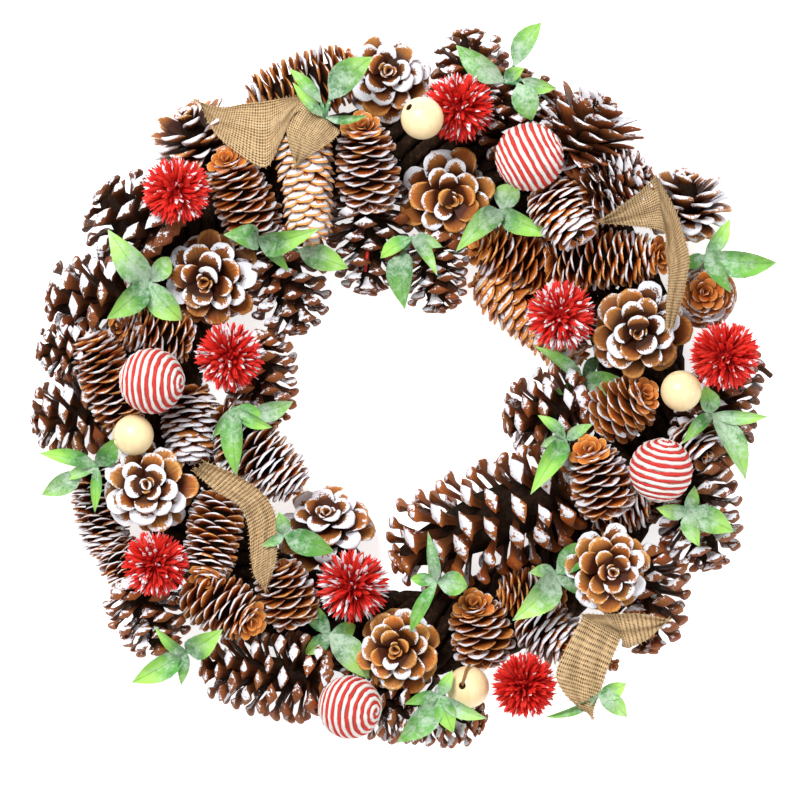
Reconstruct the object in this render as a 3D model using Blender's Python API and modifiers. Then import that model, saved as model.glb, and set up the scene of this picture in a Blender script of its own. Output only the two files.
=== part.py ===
"""A round wreath lying on its back: cones, pompoms, beads, leaf sprigs and burlap on a vine ring.

Metres, +Z up. The front of the wreath faces +Z, and the ring's flat underside is at z = 0.
Places are read on an 800 pixel square drawing of the front, one pixel of which is PIXEL wide.
"""

import math

import bmesh
import bpy
from mathutils import Matrix, Vector
from mathutils.bvhtree import BVHTree

MM = 0.001
PIXEL = 0.48 * MM
RING_MIDDLE = (400, 392)  # pixels

RING_RADIUS = 117 * MM  # to the middle of the vine bundle
RING_HALF_WIDTH = 24 * MM
RING_HALF_HEIGHT = 12 * MM
RING_SIDES = 28
BUNDLE_SIDES = 8
VINE_TURNS = 7  # times that the vines wind round the bundle
VINE_RELIEF = 0.09

GAP = 0.35 * MM  # between a piece and what it rests on
NEST = 12 * MM  # how far cones glued in one bunch sink into each other
LEAST_HEIGHT = 2.5 * MM  # of any cone above the surface that the ring lies on
SAMPLE = 1.4 * MM  # spacing of the columns in which heights are compared
FAR = 1.0
HIGHEST_LIFT = 16  # mm, of a cone that is held up by its mates

# Rows of scales, scales around, the core's share of the radius, and how far a scale's tip
# leans towards the apex as a share of a row.
SMALL_SCALES = (6, 5, 0.74, 0.45)
PINE_SCALES = (6, 6, 0.48, 0.6)
LONG_SCALES = (11, 9, 0.6, 0.5)
SCALE_DROP = 0.1  # of a row, by which the hollows lie below the tips
BASE_HOLLOW = 0.04  # of a cone's length
PETAL_ROWS, PETALS_AROUND = 4, 6
PETAL_TWIST = 0.75  # columns from each row of petals to the next
CONE_SPIN = 2.4  # radians from one cone to the next, so that they look different

TWINE_RIDGES = 7
TWINE_SIDES = 10
TWINE_RELIEF = 1.1 * MM
BEAD_BORE = 1.7 * MM
BEAD_SIDES = 10
BEAD_STEPS = 6
POMPOM_CORE = 0.68  # of its radius
FLAT_OF_CORE = 0.94  # distance out to the middle of a face of the core, as a share of its radius
BURLAP_THICKNESS = 1.0 * MM
BURLAP_ACROSS = 3
BURLAP_PATCH = 2.5 * MM  # around a point, where the heights set how high it lies
BURLAP_SLACK = 0.75  # steepest fall of the cloth from a high point
LEAF_THICKNESS = 1.1 * MM
LEAF_ARCH = 0.07  # of its length
LEAF_ROWS = ((0.3, 1.0), (0.68, 0.88))  # share of its length, and of its width there
STALK_RADIUS = 1.2 * MM
STALK_HEIGHT = 5 * MM
HEAD_PATCH = 7 * MM  # around a stalk, where the heights set how far it stands up
HEAD_CLEARANCE = 2 * MM
TWIG_RADIUS = 0.8 * MM
TWIG_PATCH = 3 * MM
HIGHEST_TWIG = 30  # mm, above the sprig's head
TIE_RADIUS = 1.2 * MM
NEAR_FOOT = 14  # pixels: a leaf that starts nearer than this grows from the foot itself

# A cone is: layer, kind, base and apex in pixels, rise from base to apex and diameter in mm.
CONES = {
    "cones_outer_top": [
        (0, "pine", (474, 114), (470, 25), 3, 41),
        (0, "pine", (524, 156), (518, 66), 2, 36),
        (0, "pine", (566, 168), (604, 92), 4, 49),
        (1, "pine", (584, 200), (654, 172), 3, 33),
    ],
    "cones_outer_right": [
        (0, "rosette", (684, 228), (690, 170), 10, 46),
        (0, "small", (706, 296), (706, 292), 36, 33),
        (0, "pine", (704, 462), (742, 334), 4, 43),
        (1, "small", (684, 432), (710, 460), 9, 30),
        (0, "pine", (684, 468), (714, 572), 5, 52),
        (0, "pine", (640, 552), (650, 656), 3, 52),
    ],
    "cones_outer_left": [
        (0, "pine", (150, 296), (42, 302), 2, 50),
        (0, "pine", (98, 348), (34, 352), 2, 28),
        (0, "pine", (100, 408), (28, 425), 2, 40),
        (1, "small", (126, 424), (88, 330), 4, 30),
        (1, "small", (192, 342), (118, 322), 3, 27),
    ],
    "cones_outer_bottom": [
        (0, "small", (92, 462), (106, 560), 2, 30),
        (0, "small", (108, 538), (142, 604), 4, 25),
        (0, "pine", (136, 582), (164, 656), 3, 43),
        (0, "pine", (325, 680), (198, 668), 3, 47),
        (0, "pine", (342, 694), (488, 724), 2, 39),
    ],
    "cones_inner_top": [
        (0, "pine", (276, 232), (298, 336), 2, 47),
        (0, "pine", (370, 182), (368, 296), 2, 48),
        (0, "pine", (432, 238), (438, 314), 2, 43),
    ],
    "cones_inner_left": [
        (0, "pine", (250, 338), (270, 430), 4, 42),
        (0, "small", (212, 414), (302, 494), 2, 34),
        (1, "small", (186, 386), (192, 466), 3, 31),
    ],
    "cones_inner_right": [
        (0, "pine", (584, 406), (502, 424), 3, 47),
        (0, "small", (590, 508), (652, 500), 2, 33),
        (1, "small", (612, 514), (588, 446), 7, 33),
        (1, "small", (598, 424), (648, 392), 9, 33),
    ],
    "pine_cone_long": [
        (0, "long", (574, 482), (389, 564), 2, 59),
    ],
    "cones_upper_left": [
        (0, "pine", (158, 242), (98, 188), 3, 52),
        (0, "rosette", (208, 164), (182, 108), 12, 44),
        (1, "small", (260, 240), (226, 156), 8, 32),
    ],
    "cones_top": [
        (0, "small", (356, 67), (244, 105), 3, 35),
        (1, "rosette", (386, 80), (388, 68), 26, 46),
        (1, "small", (372, 210), (362, 122), 9, 33),
        (1, "small", (302, 118), (311, 247), 3, 31),
    ],
    "cones_inner_upper_right": [
        (0, "small", (484, 268), (586, 362), 2, 32),
        (1, "small", (552, 270), (476, 242), 5, 33),
        (1, "small", (546, 260), (664, 257), 3, 32),
        (2, "small", (544, 188), (584, 244), 7, 32),
    ],
    "cones_lower_left": [
        (1, "small", (188, 584), (254, 624), 7, 33),
        (1, "small", (220, 494), (205, 582), 7, 30),
        (1, "small", (298, 624), (274, 562), 6, 31),
        (0, "rosette", (328, 542), (325, 506), 22, 49),
    ],
    "cones_lower_right": [
        (0, "small", (566, 592), (496, 594), 2, 27),
        (1, "small", (526, 614), (576, 652), 6, 32),
        (1, "small", (488, 664), (474, 600), 9, 33),
    ],
    "rosette_cone_top": [(1, "rosette", (446, 192), (454, 202), 30, 48)],
    "rosette_cone_left": [(1, "rosette", (215, 277), (202, 284), 28, 47)],
    "rosette_cone_right": [(1, "rosette", (640, 330), (638, 334), 29, 47)],
    "rosette_cone_lower_left": [(1, "rosette", (150, 490), (146, 484), 29, 46)],
    "rosette_cone_bottom": [(1, "rosette", (402, 650), (394, 650), 26, 41)],
    "rosette_cone_lower_right": [(1, "rosette", (605, 568), (613, 571), 27, 41)],
}

# A pompom is: middle in pixels and radius in mm.
POMPOMS = {
    "pompom_upper_left": ((178, 192), 17.8),
    "pompom_top": ((459, 108), 18.2),
    "pompom_left": ((230, 357), 17.8),
    "pompom_inner_right": ((561, 316), 18.2),
    "pompom_right": ((724, 356), 18.2),
    "pompom_lower_left": ((156, 564), 17.3),
    "pompom_inner_bottom": ((353, 586), 19.0),
    "pompom_bottom": ((524, 685), 17.0),
}

# A twine ball or a bead is: middle in pixels, radius in mm and the direction of its pole.
TWINE_BALLS = {
    "twine_ball_left": ((153, 381), 16.3, (0.84, -0.08, 0.53)),
    "twine_ball_top": ((529, 158), 17.2, (0.85, 0.5, 0.1)),
    "twine_ball_right": ((660, 470), 16.0, (0.12, 0.95, 0.3)),
    "twine_ball_bottom": ((350, 707), 15.9, (0.85, -0.12, 0.5)),
}
BEADS = {
    "bead_left": ((134, 435), 10.1, (0.9, 0.3, -0.25)),
    "bead_top": ((422, 120), 10.5, (-0.62, 0.5, 0.6)),
    "bead_right": ((680, 391), 10.1, (0.3, -0.9, -0.3)),
    "bead_bottom": ((468, 687), 10.5, (-0.28, 0.1, 0.95)),
}

# A burlap strip is pairs of points along its two edges, in pixels.
BURLAP = {
    "burlap_top_left": [
        ((200, 103), (202, 106)),
        ((224, 108), (214, 134)),
        ((248, 102), (234, 150)),
        ((272, 98), (262, 150)),
        ((297, 97), (284, 136)),
        ((318, 112), (298, 150)),
        ((342, 134), (304, 164)),
    ],
    "burlap_right": [
        ((654, 174), (600, 222)),
        ((664, 196), (618, 224)),
        ((678, 222), (640, 228)),
        ((692, 250), (664, 244)),
        ((694, 282), (668, 276)),
        ((688, 306), (664, 302)),
        ((674, 326), (662, 324)),
    ],
    "burlap_lower_left": [
        ((208, 460), (198, 474)),
        ((236, 474), (216, 492)),
        ((262, 492), (240, 510)),
        ((276, 514), (248, 534)),
        ((278, 540), (250, 558)),
        ((276, 562), (254, 576)),
        ((268, 586), (264, 588)),
    ],
    "burlap_lower_right": [
        ((664, 614), (642, 638)),
        ((640, 606), (624, 640)),
        ((608, 612), (612, 650)),
        ((580, 622), (612, 668)),
        ((559, 652), (608, 684)),
        ((553, 676), (602, 700)),
        ((570, 700), (596, 714)),
    ],
}

# A sprig is: its foot in pixels, then leaves as base, tip and width in pixels.
SPRIGS = {
    "sprig_top_left": (
        (325, 118),
        [
            ((330, 100), (372, 58), 30),
            ((322, 104), (290, 70), 13),
            ((326, 118), (293, 84), 11),
            ((328, 120), (368, 117), 9),
        ],
    ),
    "sprig_top": (
        (504, 82),
        [
            ((500, 80), (456, 46), 24),
            ((514, 66), (541, 22), 22),
            ((518, 84), (532, 121), 26),
            ((522, 80), (556, 89), 16),
            ((506, 84), (524, 68), 14),
        ],
    ),
    "sprig_left": (
        (148, 282),
        [
            ((146, 280), (110, 232), 30),
            ((152, 280), (170, 257), 20),
            ((146, 286), (109, 319), 26),
            ((152, 286), (182, 321), 28),
            ((146, 284), (130, 284), 10),
        ],
    ),
    "sprig_upper_left_inner": (
        (259, 243),
        [
            ((255, 244), (226, 235), 25),
            ((264, 243), (318, 231), 24),
            ((262, 247), (289, 271), 12),
            ((298, 250), (348, 268), 25),
        ],
    ),
    "sprig_inner_top": (
        (412, 238),
        [
            ((408, 240), (380, 258), 16),
            ((404, 252), (404, 308), 27),
            ((416, 242), (437, 275), 14),
            ((418, 238), (442, 247), 14),
        ],
    ),
    "sprig_top_inner": (
        (502, 210),
        [
            ((498, 214), (457, 250), 24),
            ((506, 208), (516, 182), 26),
            ((508, 212), (553, 236), 22),
        ],
    ),
    "sprig_right_edge": (
        (706, 256),
        [
            ((708, 252), (731, 219), 16),
            ((716, 258), (778, 263), 27),
            ((708, 262), (731, 292), 16),
            ((700, 258), (680, 264), 15),
        ],
    ),
    "sprig_inner_right": (
        (584, 384),
        [
            ((580, 376), (536, 346), 14),
            ((580, 388), (558, 404), 18),
            ((588, 386), (625, 380), 26),
            ((586, 394), (568, 443), 27),
            ((586, 378), (600, 356), 13),
        ],
    ),
    "sprig_inner_right_low": (
        (566, 440),
        [
            ((564, 437), (538, 415), 12),
            ((565, 443), (531, 492), 22),
            ((562, 441), (541, 446), 12),
            ((568, 438), (592, 424), 12),
        ],
    ),
    "sprig_right": (
        (712, 414),
        [
            ((710, 410), (704, 386), 20),
            ((716, 412), (767, 417), 14),
            ((718, 424), (746, 478), 24),
            ((708, 418), (682, 443), 14),
        ],
    ),
    "sprig_lower_right_edge": (
        (687, 511),
        [
            ((692, 512), (733, 531), 26),
            ((688, 516), (698, 546), 18),
            ((688, 507), (694, 486), 14),
            ((683, 511), (656, 508), 16),
        ],
    ),
    "sprig_lower_right": (
        (556, 573),
        [
            ((560, 570), (600, 544), 26),
            ((560, 576), (593, 596), 24),
            ((552, 578), (514, 619), 31),
            ((553, 571), (529, 572), 14),
        ],
    ),
    "sprig_inner_left": (
        (234, 408),
        [
            ((230, 410), (213, 437), 12),
            ((236, 408), (264, 420), 18),
            ((250, 414), (293, 402), 20),
            ((240, 412), (272, 428), 14),
            ((236, 414), (236, 475), 22),
        ],
    ),
    "sprig_left_edge": (
        (97, 466),
        [
            ((98, 462), (116, 438), 21),
            ((92, 463), (40, 453), 16),
            ((92, 467), (63, 480), 12),
            ((82, 474), (42, 495), 21),
            ((97, 470), (95, 512), 11),
        ],
    ),
    "sprig_lower_left": (
        (186, 652),
        [
            ((182, 652), (132, 683), 24),
            ((188, 650), (222, 630), 25),
            ((184, 648), (155, 627), 12),
            ((186, 656), (181, 685), 11),
        ],
    ),
    "sprig_bottom_left": (
        (330, 635),
        [
            ((328, 631), (301, 598), 18),
            ((334, 632), (356, 626), 17),
            ((326, 638), (304, 655), 17),
            ((334, 638), (369, 679), 29),
        ],
    ),
    "sprig_inner_bottom": (
        (437, 581),
        [
            ((437, 577), (428, 532), 12),
            ((433, 581), (410, 578), 13),
            ((441, 582), (468, 586), 24),
            ((435, 585), (410, 632), 14),
        ],
    ),
    "sprig_bottom": (
        (440, 695),
        [
            ((436, 698), (398, 742), 27),
            ((442, 699), (453, 732), 20),
            ((445, 697), (486, 718), 16),
            ((436, 694), (405, 703), 13),
            ((441, 691), (452, 670), 13),
        ],
    ),
    "sprig_lower_right_tip": (
        (598, 695),
        [
            ((600, 692), (626, 684), 22),
            ((600, 698), (627, 713), 24),
            ((594, 693), (545, 717), 9),
        ],
    ),
    "sprig_inner_lower_left": (
        (284, 535),
        [
            ((288, 536), (334, 552), 25),
            ((281, 533), (279, 512), 15),
            ((282, 538), (262, 546), 10),
        ],
    ),
}
# What a leaf tries in turn, until it clears every other piece.
LEAF_RISES = [4, 7, 10, 1, 13, -2, 16, -5, 20, -8, 24, -12, 28, 32, 36, 40]  # mm from its base to its tip
LEAF_SHARES = [1.0, 0.92, 0.84, 0.76, 0.68, 0.6]  # of its length

# Colour, roughness and metallic value of each finish.
FINISHES = {
    "vine": ((0.16, 0.09, 0.045, 1), 0.85, 0),
    "pine": ((0.27, 0.13, 0.06, 1), 0.75, 0),
    "small": ((0.36, 0.17, 0.07, 1), 0.7, 0),
    "rosette": ((0.50, 0.27, 0.12, 1), 0.7, 0),
    "pompom": ((0.62, 0.03, 0.03, 1), 0.6, 0),
    "twine": ((0.85, 0.35, 0.30, 1), 0.8, 0),
    "bead": ((0.90, 0.74, 0.45, 1), 0.35, 0),
    "leaf": ((0.30, 0.52, 0.25, 1), 0.55, 0),
    "burlap": ((0.60, 0.42, 0.23, 1), 0.9, 0),
}


def at(pixel, height=0.0):
    """The point of the wreath that a pixel of the drawing shows."""
    x = (pixel[0] - RING_MIDDLE[0]) * PIXEL
    y = (RING_MIDDLE[1] - pixel[1]) * PIXEL
    return Vector((x, y, height))


def clear_scene():
    for thing in list(bpy.data.objects):
        bpy.data.objects.remove(thing, do_unlink=True)


def finish_material(name):
    if name in bpy.data.materials:
        return bpy.data.materials[name]
    colour, roughness, metallic = FINISHES[name]
    material = bpy.data.materials.new(name)
    material.use_nodes = True
    shader = material.node_tree.nodes["Principled BSDF"]
    shader.inputs["Base Color"].default_value = colour
    shader.inputs["Roughness"].default_value = roughness
    shader.inputs["Metallic"].default_value = metallic
    material.diffuse_color = colour
    return material


def new_object(name, bm, collection, finish):
    """An object that holds a bmesh, which is then freed."""
    mesh = bpy.data.meshes.new(name)
    bmesh.ops.triangulate(bm, faces=bm.faces[:])
    bmesh.ops.recalc_face_normals(bm, faces=bm.faces[:])
    bm.to_mesh(mesh)
    bm.free()
    mesh.materials.append(finish_material(finish))
    thing = bpy.data.objects.new(name, mesh)
    collection.objects.link(thing)
    return thing


def lattice(around, rows, place):
    """A ball of rows and columns whose points go where place(row, column) says.

    Row 0 and row rows + 1 are its two ends, where the column is 0.
    """
    bm = bmesh.new()
    bmesh.ops.create_uvsphere(bm, u_segments=around, v_segments=rows + 1, radius=1)
    index = {}
    for vert in bm.verts:
        row = rows + 1 - round(math.acos(max(-1, min(1, vert.co.z))) / math.pi * (rows + 1))
        turn = math.atan2(-vert.co.x, vert.co.y) / math.tau
        column = round(turn * around) % around if 0 < row < rows + 1 else 0
        index[vert] = (row, column)
    for vert, (row, column) in index.items():
        vert.co = place(row, column)
    return bm, index


def split_between_scales(bm, index):
    """Cuts each four-sided face from hollow to hollow, so that a scale is a point with four sides."""
    for face in [face for face in bm.faces if len(face.verts) == 4]:
        hollows = [vert for vert in face.verts if sum(index[vert]) % 2]
        bmesh.utils.face_split(face, *hollows)


def scaly_cone(length, radius, scales, outline):
    """A cone along +Z from its base at z = 0, with every scale raised from its core.

    outline(t) is the share of the radius at a share t of the length.
    """
    rows, around, reach, lift = scales

    def place(row, column):
        t = row / (rows + 1)
        if row in (0, rows + 1):
            return Vector((0, 0, length * (BASE_HOLLOW if row == 0 else 1.0)))
        is_tip = (row + column) % 2 == 0
        share = outline(t) * (1.0 if is_tip else reach)
        height = length * (t + (lift if is_tip else -SCALE_DROP) / (rows + 1))
        angle = column / (2 * around) * math.tau
        return Vector((math.cos(angle), math.sin(angle), 0)) * radius * share + Vector((0, 0, height))

    bm, index = lattice(2 * around, rows, place)
    split_between_scales(bm, index)
    return bm


def small_outline(t):
    return (1 - abs(t - 0.42) ** 2.2 * 1.9) * (0.78 if t < 0.2 else 1.0)


def pine_outline(t):
    return (1 - 0.55 * max(0.0, t - 0.35)) * (0.8 if t < 0.2 else 1.0) * (0.75 if t > 0.85 else 1.0)


def small_cone(length, radius):
    return scaly_cone(length, radius, SMALL_SCALES, small_outline)


def pine_cone(length, radius):
    return scaly_cone(length, radius, PINE_SCALES, pine_outline)


def long_cone(length, radius):
    return scaly_cone(length, radius, LONG_SCALES, pine_outline)


def rosette_cone(length, radius):
    """An open cone seen from its apex: rows of broad petals that cup upwards, each row smaller."""
    rows = 2 * PETAL_ROWS

    def place(row, column):
        if row == 0:
            return Vector((0, 0, 0))
        if row == rows + 1:
            return Vector((0, 0, length))
        level = (row - 1) / (rows - 1)
        if row % 2:
            between = column % 3 == 0
            share = (1.0 - 0.78 * level) * (0.68 if between else 1.0)
            height = 0.34 + 0.66 * level - (0.05 if between else 0.0)
        else:
            share = 0.5 - 0.38 * level
            height = 0.1 + 0.78 * level
        angle = (column + PETAL_TWIST * row) / (3 * PETALS_AROUND) * math.tau
        flat = Vector((math.cos(angle), math.sin(angle), 0))
        return flat * radius * share + Vector((0, 0, length * height))

    bm, _ = lattice(3 * PETALS_AROUND, rows, place)
    return bm


# The maker and the finish of each kind of cone.
CONE_KINDS = {
    "small": (small_cone, "small"),
    "pine": (pine_cone, "pine"),
    "long": (long_cone, "pine"),
    "rosette": (rosette_cone, "rosette"),
}


def turned_to(direction, spin=0.0):
    """The rotation that takes +Z to a direction, after a spin about +Z."""
    return Vector(direction).to_track_quat("Z", "Y").to_matrix().to_4x4() @ Matrix.Rotation(spin, 4, "Z")


def cone_axis(base, apex, rise):
    return [at(base), at(apex, rise * MM)]


def lying_cone(number, kind, base, apex, rise, diameter):
    """A cone with its base and apex over their pixels. Its height is settled later."""
    start, end = cone_axis(base, apex, rise)
    axis = end - start
    maker = CONE_KINDS[kind][0]
    bm = maker(axis.length, diameter * MM / 2)
    bm.transform(Matrix.Translation(start) @ turned_to(axis, CONE_SPIN * number))
    return bm


class Shell:
    """The surface of a piece, for telling how low it can be set down on others."""

    def __init__(self, points, triangles, axis=()):
        self.points = points
        self.triangles = triangles
        self.axis = axis
        self.tree = BVHTree.FromPolygons(points, triangles)
        self.low = Vector([min(p[i] for p in points) for i in range(3)])
        self.high = Vector([max(p[i] for p in points) for i in range(3)])

    def raised(self, height):
        up = Vector((0, 0, height))
        return Shell([p + up for p in self.points], self.triangles, [p + up for p in self.axis])

    def top(self, x, y):
        hit = self.tree.ray_cast(Vector((x, y, FAR)), Vector((0, 0, -1)))[0]
        return hit.z if hit else None

    def bottom(self, x, y):
        hit = self.tree.ray_cast(Vector((x, y, -FAR)), Vector((0, 0, 1)))[0]
        return hit.z if hit else None


def shell_of(bm, axis=()):
    bmesh.ops.triangulate(bm, faces=bm.faces[:])
    bm.verts.index_update()
    points = [vert.co.copy() for vert in bm.verts]
    return Shell(points, [[vert.index for vert in face.verts] for face in bm.faces], axis)


def shared_columns(a, b):
    """The columns that two shells share: a grid over both, and the points of each."""
    low = [max(a.low[i], b.low[i]) for i in range(2)]
    high = [min(a.high[i], b.high[i]) for i in range(2)]
    if low[0] >= high[0] or low[1] >= high[1]:
        return []
    across, along = (int((high[i] - low[i]) / SAMPLE) + 1 for i in range(2))
    grid = [(low[0] + i * SAMPLE, low[1] + j * SAMPLE) for i in range(across) for j in range(along)]
    ends = [
        (p.x, p.y)
        for p in a.points + b.points
        if low[0] <= p.x <= high[0] and low[1] <= p.y <= high[1]
    ]
    return grid + ends


def rest_height(shell, under):
    """How far a shell is raised so that it stands GAP above another one."""
    raise_by = -FAR
    for x, y in shared_columns(shell, under):
        top = under.top(x, y)
        bottom = shell.bottom(x, y)
        if top is not None and bottom is not None:
            raise_by = max(raise_by, top - bottom + GAP)
    return raise_by


def crosses(shell, others):
    return any(other.tree.overlap(shell.tree) for other in others)


def settled(shell, others, mates):
    """A shell set down on the others and sunk a little into its bunch mates.

    One that would lie beside its mates is held higher, where it runs into one of them.
    """
    height = LEAST_HEIGHT - shell.low.z
    for other in others:
        height = max(height, rest_height(shell, other))
    for mate in mates:
        height = max(height, rest_height(shell, mate) - NEST)
    rest = shell.raised(height)
    while crosses(rest, others):
        rest = rest.raised(GAP)
    if mates and not crosses(rest, mates):
        for step in range(1, HIGHEST_LIFT):
            held = rest.raised(step * MM)
            if crosses(held, mates) and not crosses(held, others):
                return held.raised(MM) if not crosses(held.raised(MM), others) else held
    return rest


def bmesh_of(shell):
    bm = bmesh.new()
    verts = [bm.verts.new(p) for p in shell.points]
    for triangle in shell.triangles:
        bm.faces.new([verts[i] for i in triangle])
    return bm


def join(name, pieces, collection, finish):
    """One object from closed pieces that run into each other, by one Boolean union."""
    if len(pieces) == 1:
        return new_object(name, pieces[0], collection, finish)
    others = bpy.data.collections.new(name + "_rest")
    thing = new_object(name, pieces[0], collection, finish)
    for number, piece in enumerate(pieces[1:]):
        new_object(f"{name}_{number}", piece, others, finish)
    bpy.context.scene.collection.children.link(others)
    union = thing.modifiers.new("Union", "BOOLEAN")
    union.operation = "UNION"
    union.operand_type = "COLLECTION"
    union.collection = others
    union.solver = "EXACT"
    bpy.context.view_layer.update()
    graph = bpy.context.evaluated_depsgraph_get()
    mesh = bpy.data.meshes.new_from_object(thing.evaluated_get(graph))
    thing.modifiers.clear()
    thing.data = mesh
    for other in list(others.objects):
        bpy.data.objects.remove(other, do_unlink=True)
    bpy.data.collections.remove(others)
    return thing


def rod(start, end, radius, sides):
    """A thin straight piece with its ends a little past both points."""
    axis = end - start
    bm = bmesh.new()
    bmesh.ops.create_cone(
        bm,
        cap_ends=True,
        segments=sides,
        radius1=radius,
        radius2=radius,
        depth=axis.length + radius,
    )
    bm.transform(Matrix.Translation((start + end) / 2) @ turned_to(axis))
    return bm


def shortest_tie(linked, loose, others):
    """A wire between the inner parts of two cones, the shortest one that meets nothing else."""
    spans = []
    shares = (0.2, 0.35, 0.5, 0.65, 0.8)
    for near_cone in linked:
        for far_cone in loose:
            for i in shares:
                for j in shares:
                    start = near_cone.axis[0].lerp(near_cone.axis[1], i)
                    end = far_cone.axis[0].lerp(far_cone.axis[1], j)
                    spans.append(((end - start).length, len(spans), start, end, far_cone))
    for _, _, start, end, cone in sorted(spans, key=lambda span: span[:2]):
        wire = rod(start, end, TIE_RADIUS, 4)
        if not crosses(shell_of(wire), others):
            return wire, cone
        wire.free()
    raise ValueError("no tie reaches the cone")


def ties(shells, others):
    """The wires that hold a bunch together, between cones that don't run into each other."""
    linked, loose, wires = shells[:1], shells[1:], []
    while loose:
        cone = next((shell for shell in loose if crosses(shell, linked)), None)
        if cone is None:
            wire, cone = shortest_tie(linked, loose, others)
            wires.append(wire)
        linked.append(cone)
        loose.remove(cone)
    return wires


def vine_ring():
    """A bundle of vines wound round in a ring, flat underneath."""
    bpy.ops.mesh.primitive_torus_add(
        major_segments=RING_SIDES, minor_segments=BUNDLE_SIDES, major_radius=2, minor_radius=1
    )
    torus = bpy.context.object
    bm = bmesh.new()
    bm.from_mesh(torus.data)
    bpy.data.objects.remove(torus, do_unlink=True)
    for vert in bm.verts:
        around = math.atan2(vert.co.y, vert.co.x)
        out = math.hypot(vert.co.x, vert.co.y) - 2
        turn = math.atan2(vert.co.z, out)
        relief = 1 + VINE_RELIEF * math.cos(3 * turn + VINE_TURNS * around)
        radius = RING_RADIUS + RING_HALF_WIDTH * math.cos(turn) * relief
        height = 0.8 * RING_HALF_HEIGHT + RING_HALF_HEIGHT * math.sin(turn) * relief
        if math.sin(turn) < -0.5:
            height = 0
        vert.co = (radius * math.cos(around), radius * math.sin(around), height)
    return bm


def pompom(radius):
    """A ball of bristles: a spike on each face of a small core."""
    core = POMPOM_CORE * radius
    bm = bmesh.new()
    bmesh.ops.create_icosphere(bm, subdivisions=2, radius=core)
    bmesh.ops.poke(bm, faces=bm.faces[:], offset=radius - FLAT_OF_CORE * core)
    return bm


def twine_ball(radius):
    rows = 2 * TWINE_RIDGES - 1

    def place(row, column):
        height = math.cos(math.pi * (1 - row / (rows + 1)))
        ridge = radius if row % 2 else radius - TWINE_RELIEF
        angle = column / TWINE_SIDES * math.tau
        flat = math.sqrt(max(0.0, 1 - height * height))
        return ridge * Vector((flat * math.cos(angle), flat * math.sin(angle), height))

    return lattice(TWINE_SIDES, rows, place)[0]


def bead(radius):
    """A turned ball with a bore through it."""
    bm = bmesh.new()
    mouth = math.asin(BEAD_BORE / radius)
    angles = [mouth + (math.pi - 2 * mouth) * i / BEAD_STEPS for i in range(BEAD_STEPS + 1)]
    outline = [(radius * math.sin(a), 0, radius * math.cos(a)) for a in angles]
    verts = [bm.verts.new(p) for p in outline]
    edges = [bm.edges.new((verts[i], verts[(i + 1) % len(verts)])) for i in range(len(verts))]
    bmesh.ops.spin(
        bm,
        geom=verts + edges,
        axis=(0, 0, 1),
        cent=(0, 0, 0),
        angle=math.tau,
        steps=BEAD_SIDES,
        use_merge=True,
    )
    bmesh.ops.remove_doubles(bm, verts=bm.verts[:], dist=0.01 * MM)
    return bm


def round_piece(maker, middle, radius, pole=(0.2, 0.1, 1)):
    bm = maker(radius * MM)
    bm.transform(Matrix.Translation(at(middle)) @ turned_to(pole))
    return bm


def leaf(base, tip, width):
    """A pointed blade from base to tip, thickest along its midrib and arched between its ends."""
    rows = len(LEAF_ROWS)
    axis = tip - base
    side = axis.cross(Vector((0, 0, 1))).normalized()
    up = side.cross(axis).normalized()

    def place(row, column):
        if row == 0:
            return base
        if row == rows + 1:
            return tip
        t, share = LEAF_ROWS[row - 1]
        half = width / 2 * share
        angle = column / 4 * math.tau
        crease = LEAF_THICKNESS / 2 * math.sin(angle)
        arch = LEAF_ARCH * axis.length
        return base + axis * t + side * half * math.cos(angle) + up * (arch + crease)

    return lattice(4, rows, place)[0]


def near(shell, others):
    return [
        other
        for other in others
        if all(other.low[i] <= shell.high[i] and other.high[i] >= shell.low[i] for i in range(2))
    ]


def clear_leaf(base, tip_pixel, width, others):
    """The longest, flattest leaf from its base to its tip's pixel that clears every other piece."""
    for share in LEAF_SHARES:
        for rise in LEAF_RISES:
            tip = base.lerp(at(tip_pixel, base.z + rise * MM / share), share)
            bm = leaf(base, tip, width * share)
            shell = shell_of(bm)
            if shell.low.z > LEAF_THICKNESS and not crosses(shell, near(shell, others)):
                return bm
            bm.free()
    raise ValueError(f"no room for the leaf to {tip_pixel}")


def clear_twig(head, pixel, others):
    """The lowest side twig that runs clear from a sprig's head to over a pixel."""
    under = top_of(others, at(pixel).x, at(pixel).y, TWIG_PATCH)
    for lift in range(HIGHEST_TWIG):
        end = at(pixel, max(head.z, under) + lift * MM)
        twig = rod(head, end, TWIG_RADIUS, 3)
        shell = shell_of(twig)
        if not crosses(shell, near(shell, others)):
            return twig, end
        twig.free()
    raise ValueError(f"no room for the twig to {pixel}")


def sprig(foot_pixel, leaves, others):
    """A stalk planted among what is under it, with its leaves spread from the top."""
    foot = at(foot_pixel)
    stub = rod(foot, foot + Vector((0, 0, STALK_HEIGHT)), STALK_RADIUS, 4)
    rest = settled(shell_of(stub), near(shell_of(stub), others), [])
    stub.free()
    around = sorted(
        top_of(others, foot.x + HEAD_PATCH * math.cos(a), foot.y + HEAD_PATCH * math.sin(a), 0)
        for a in range(7)
    )
    second_highest = around[-2]
    head = at(foot_pixel, max(rest.high.z - STALK_RADIUS, second_highest + HEAD_CLEARANCE))
    pieces = [rod(at(foot_pixel, rest.low.z + STALK_RADIUS / 2), head, STALK_RADIUS, 4)]
    for base_pixel, tip_pixel, width in leaves:
        base = head
        if math.dist(base_pixel, foot_pixel) > NEAR_FOOT:
            twig, base = clear_twig(head, base_pixel, others)
            pieces.append(twig)
        pieces.append(clear_leaf(base, tip_pixel, width * PIXEL, others))
    return pieces


def top_of(others, x, y, radius):
    """The height of what lies under a small patch."""
    heights = [0.0]
    for other in others:
        for dx, dy in ((0, 0), (radius, 0), (-radius, 0), (0, radius), (0, -radius)):
            top = other.top(x + dx, y + dy)
            if top is not None:
                heights.append(top)
    return max(heights)


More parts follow.
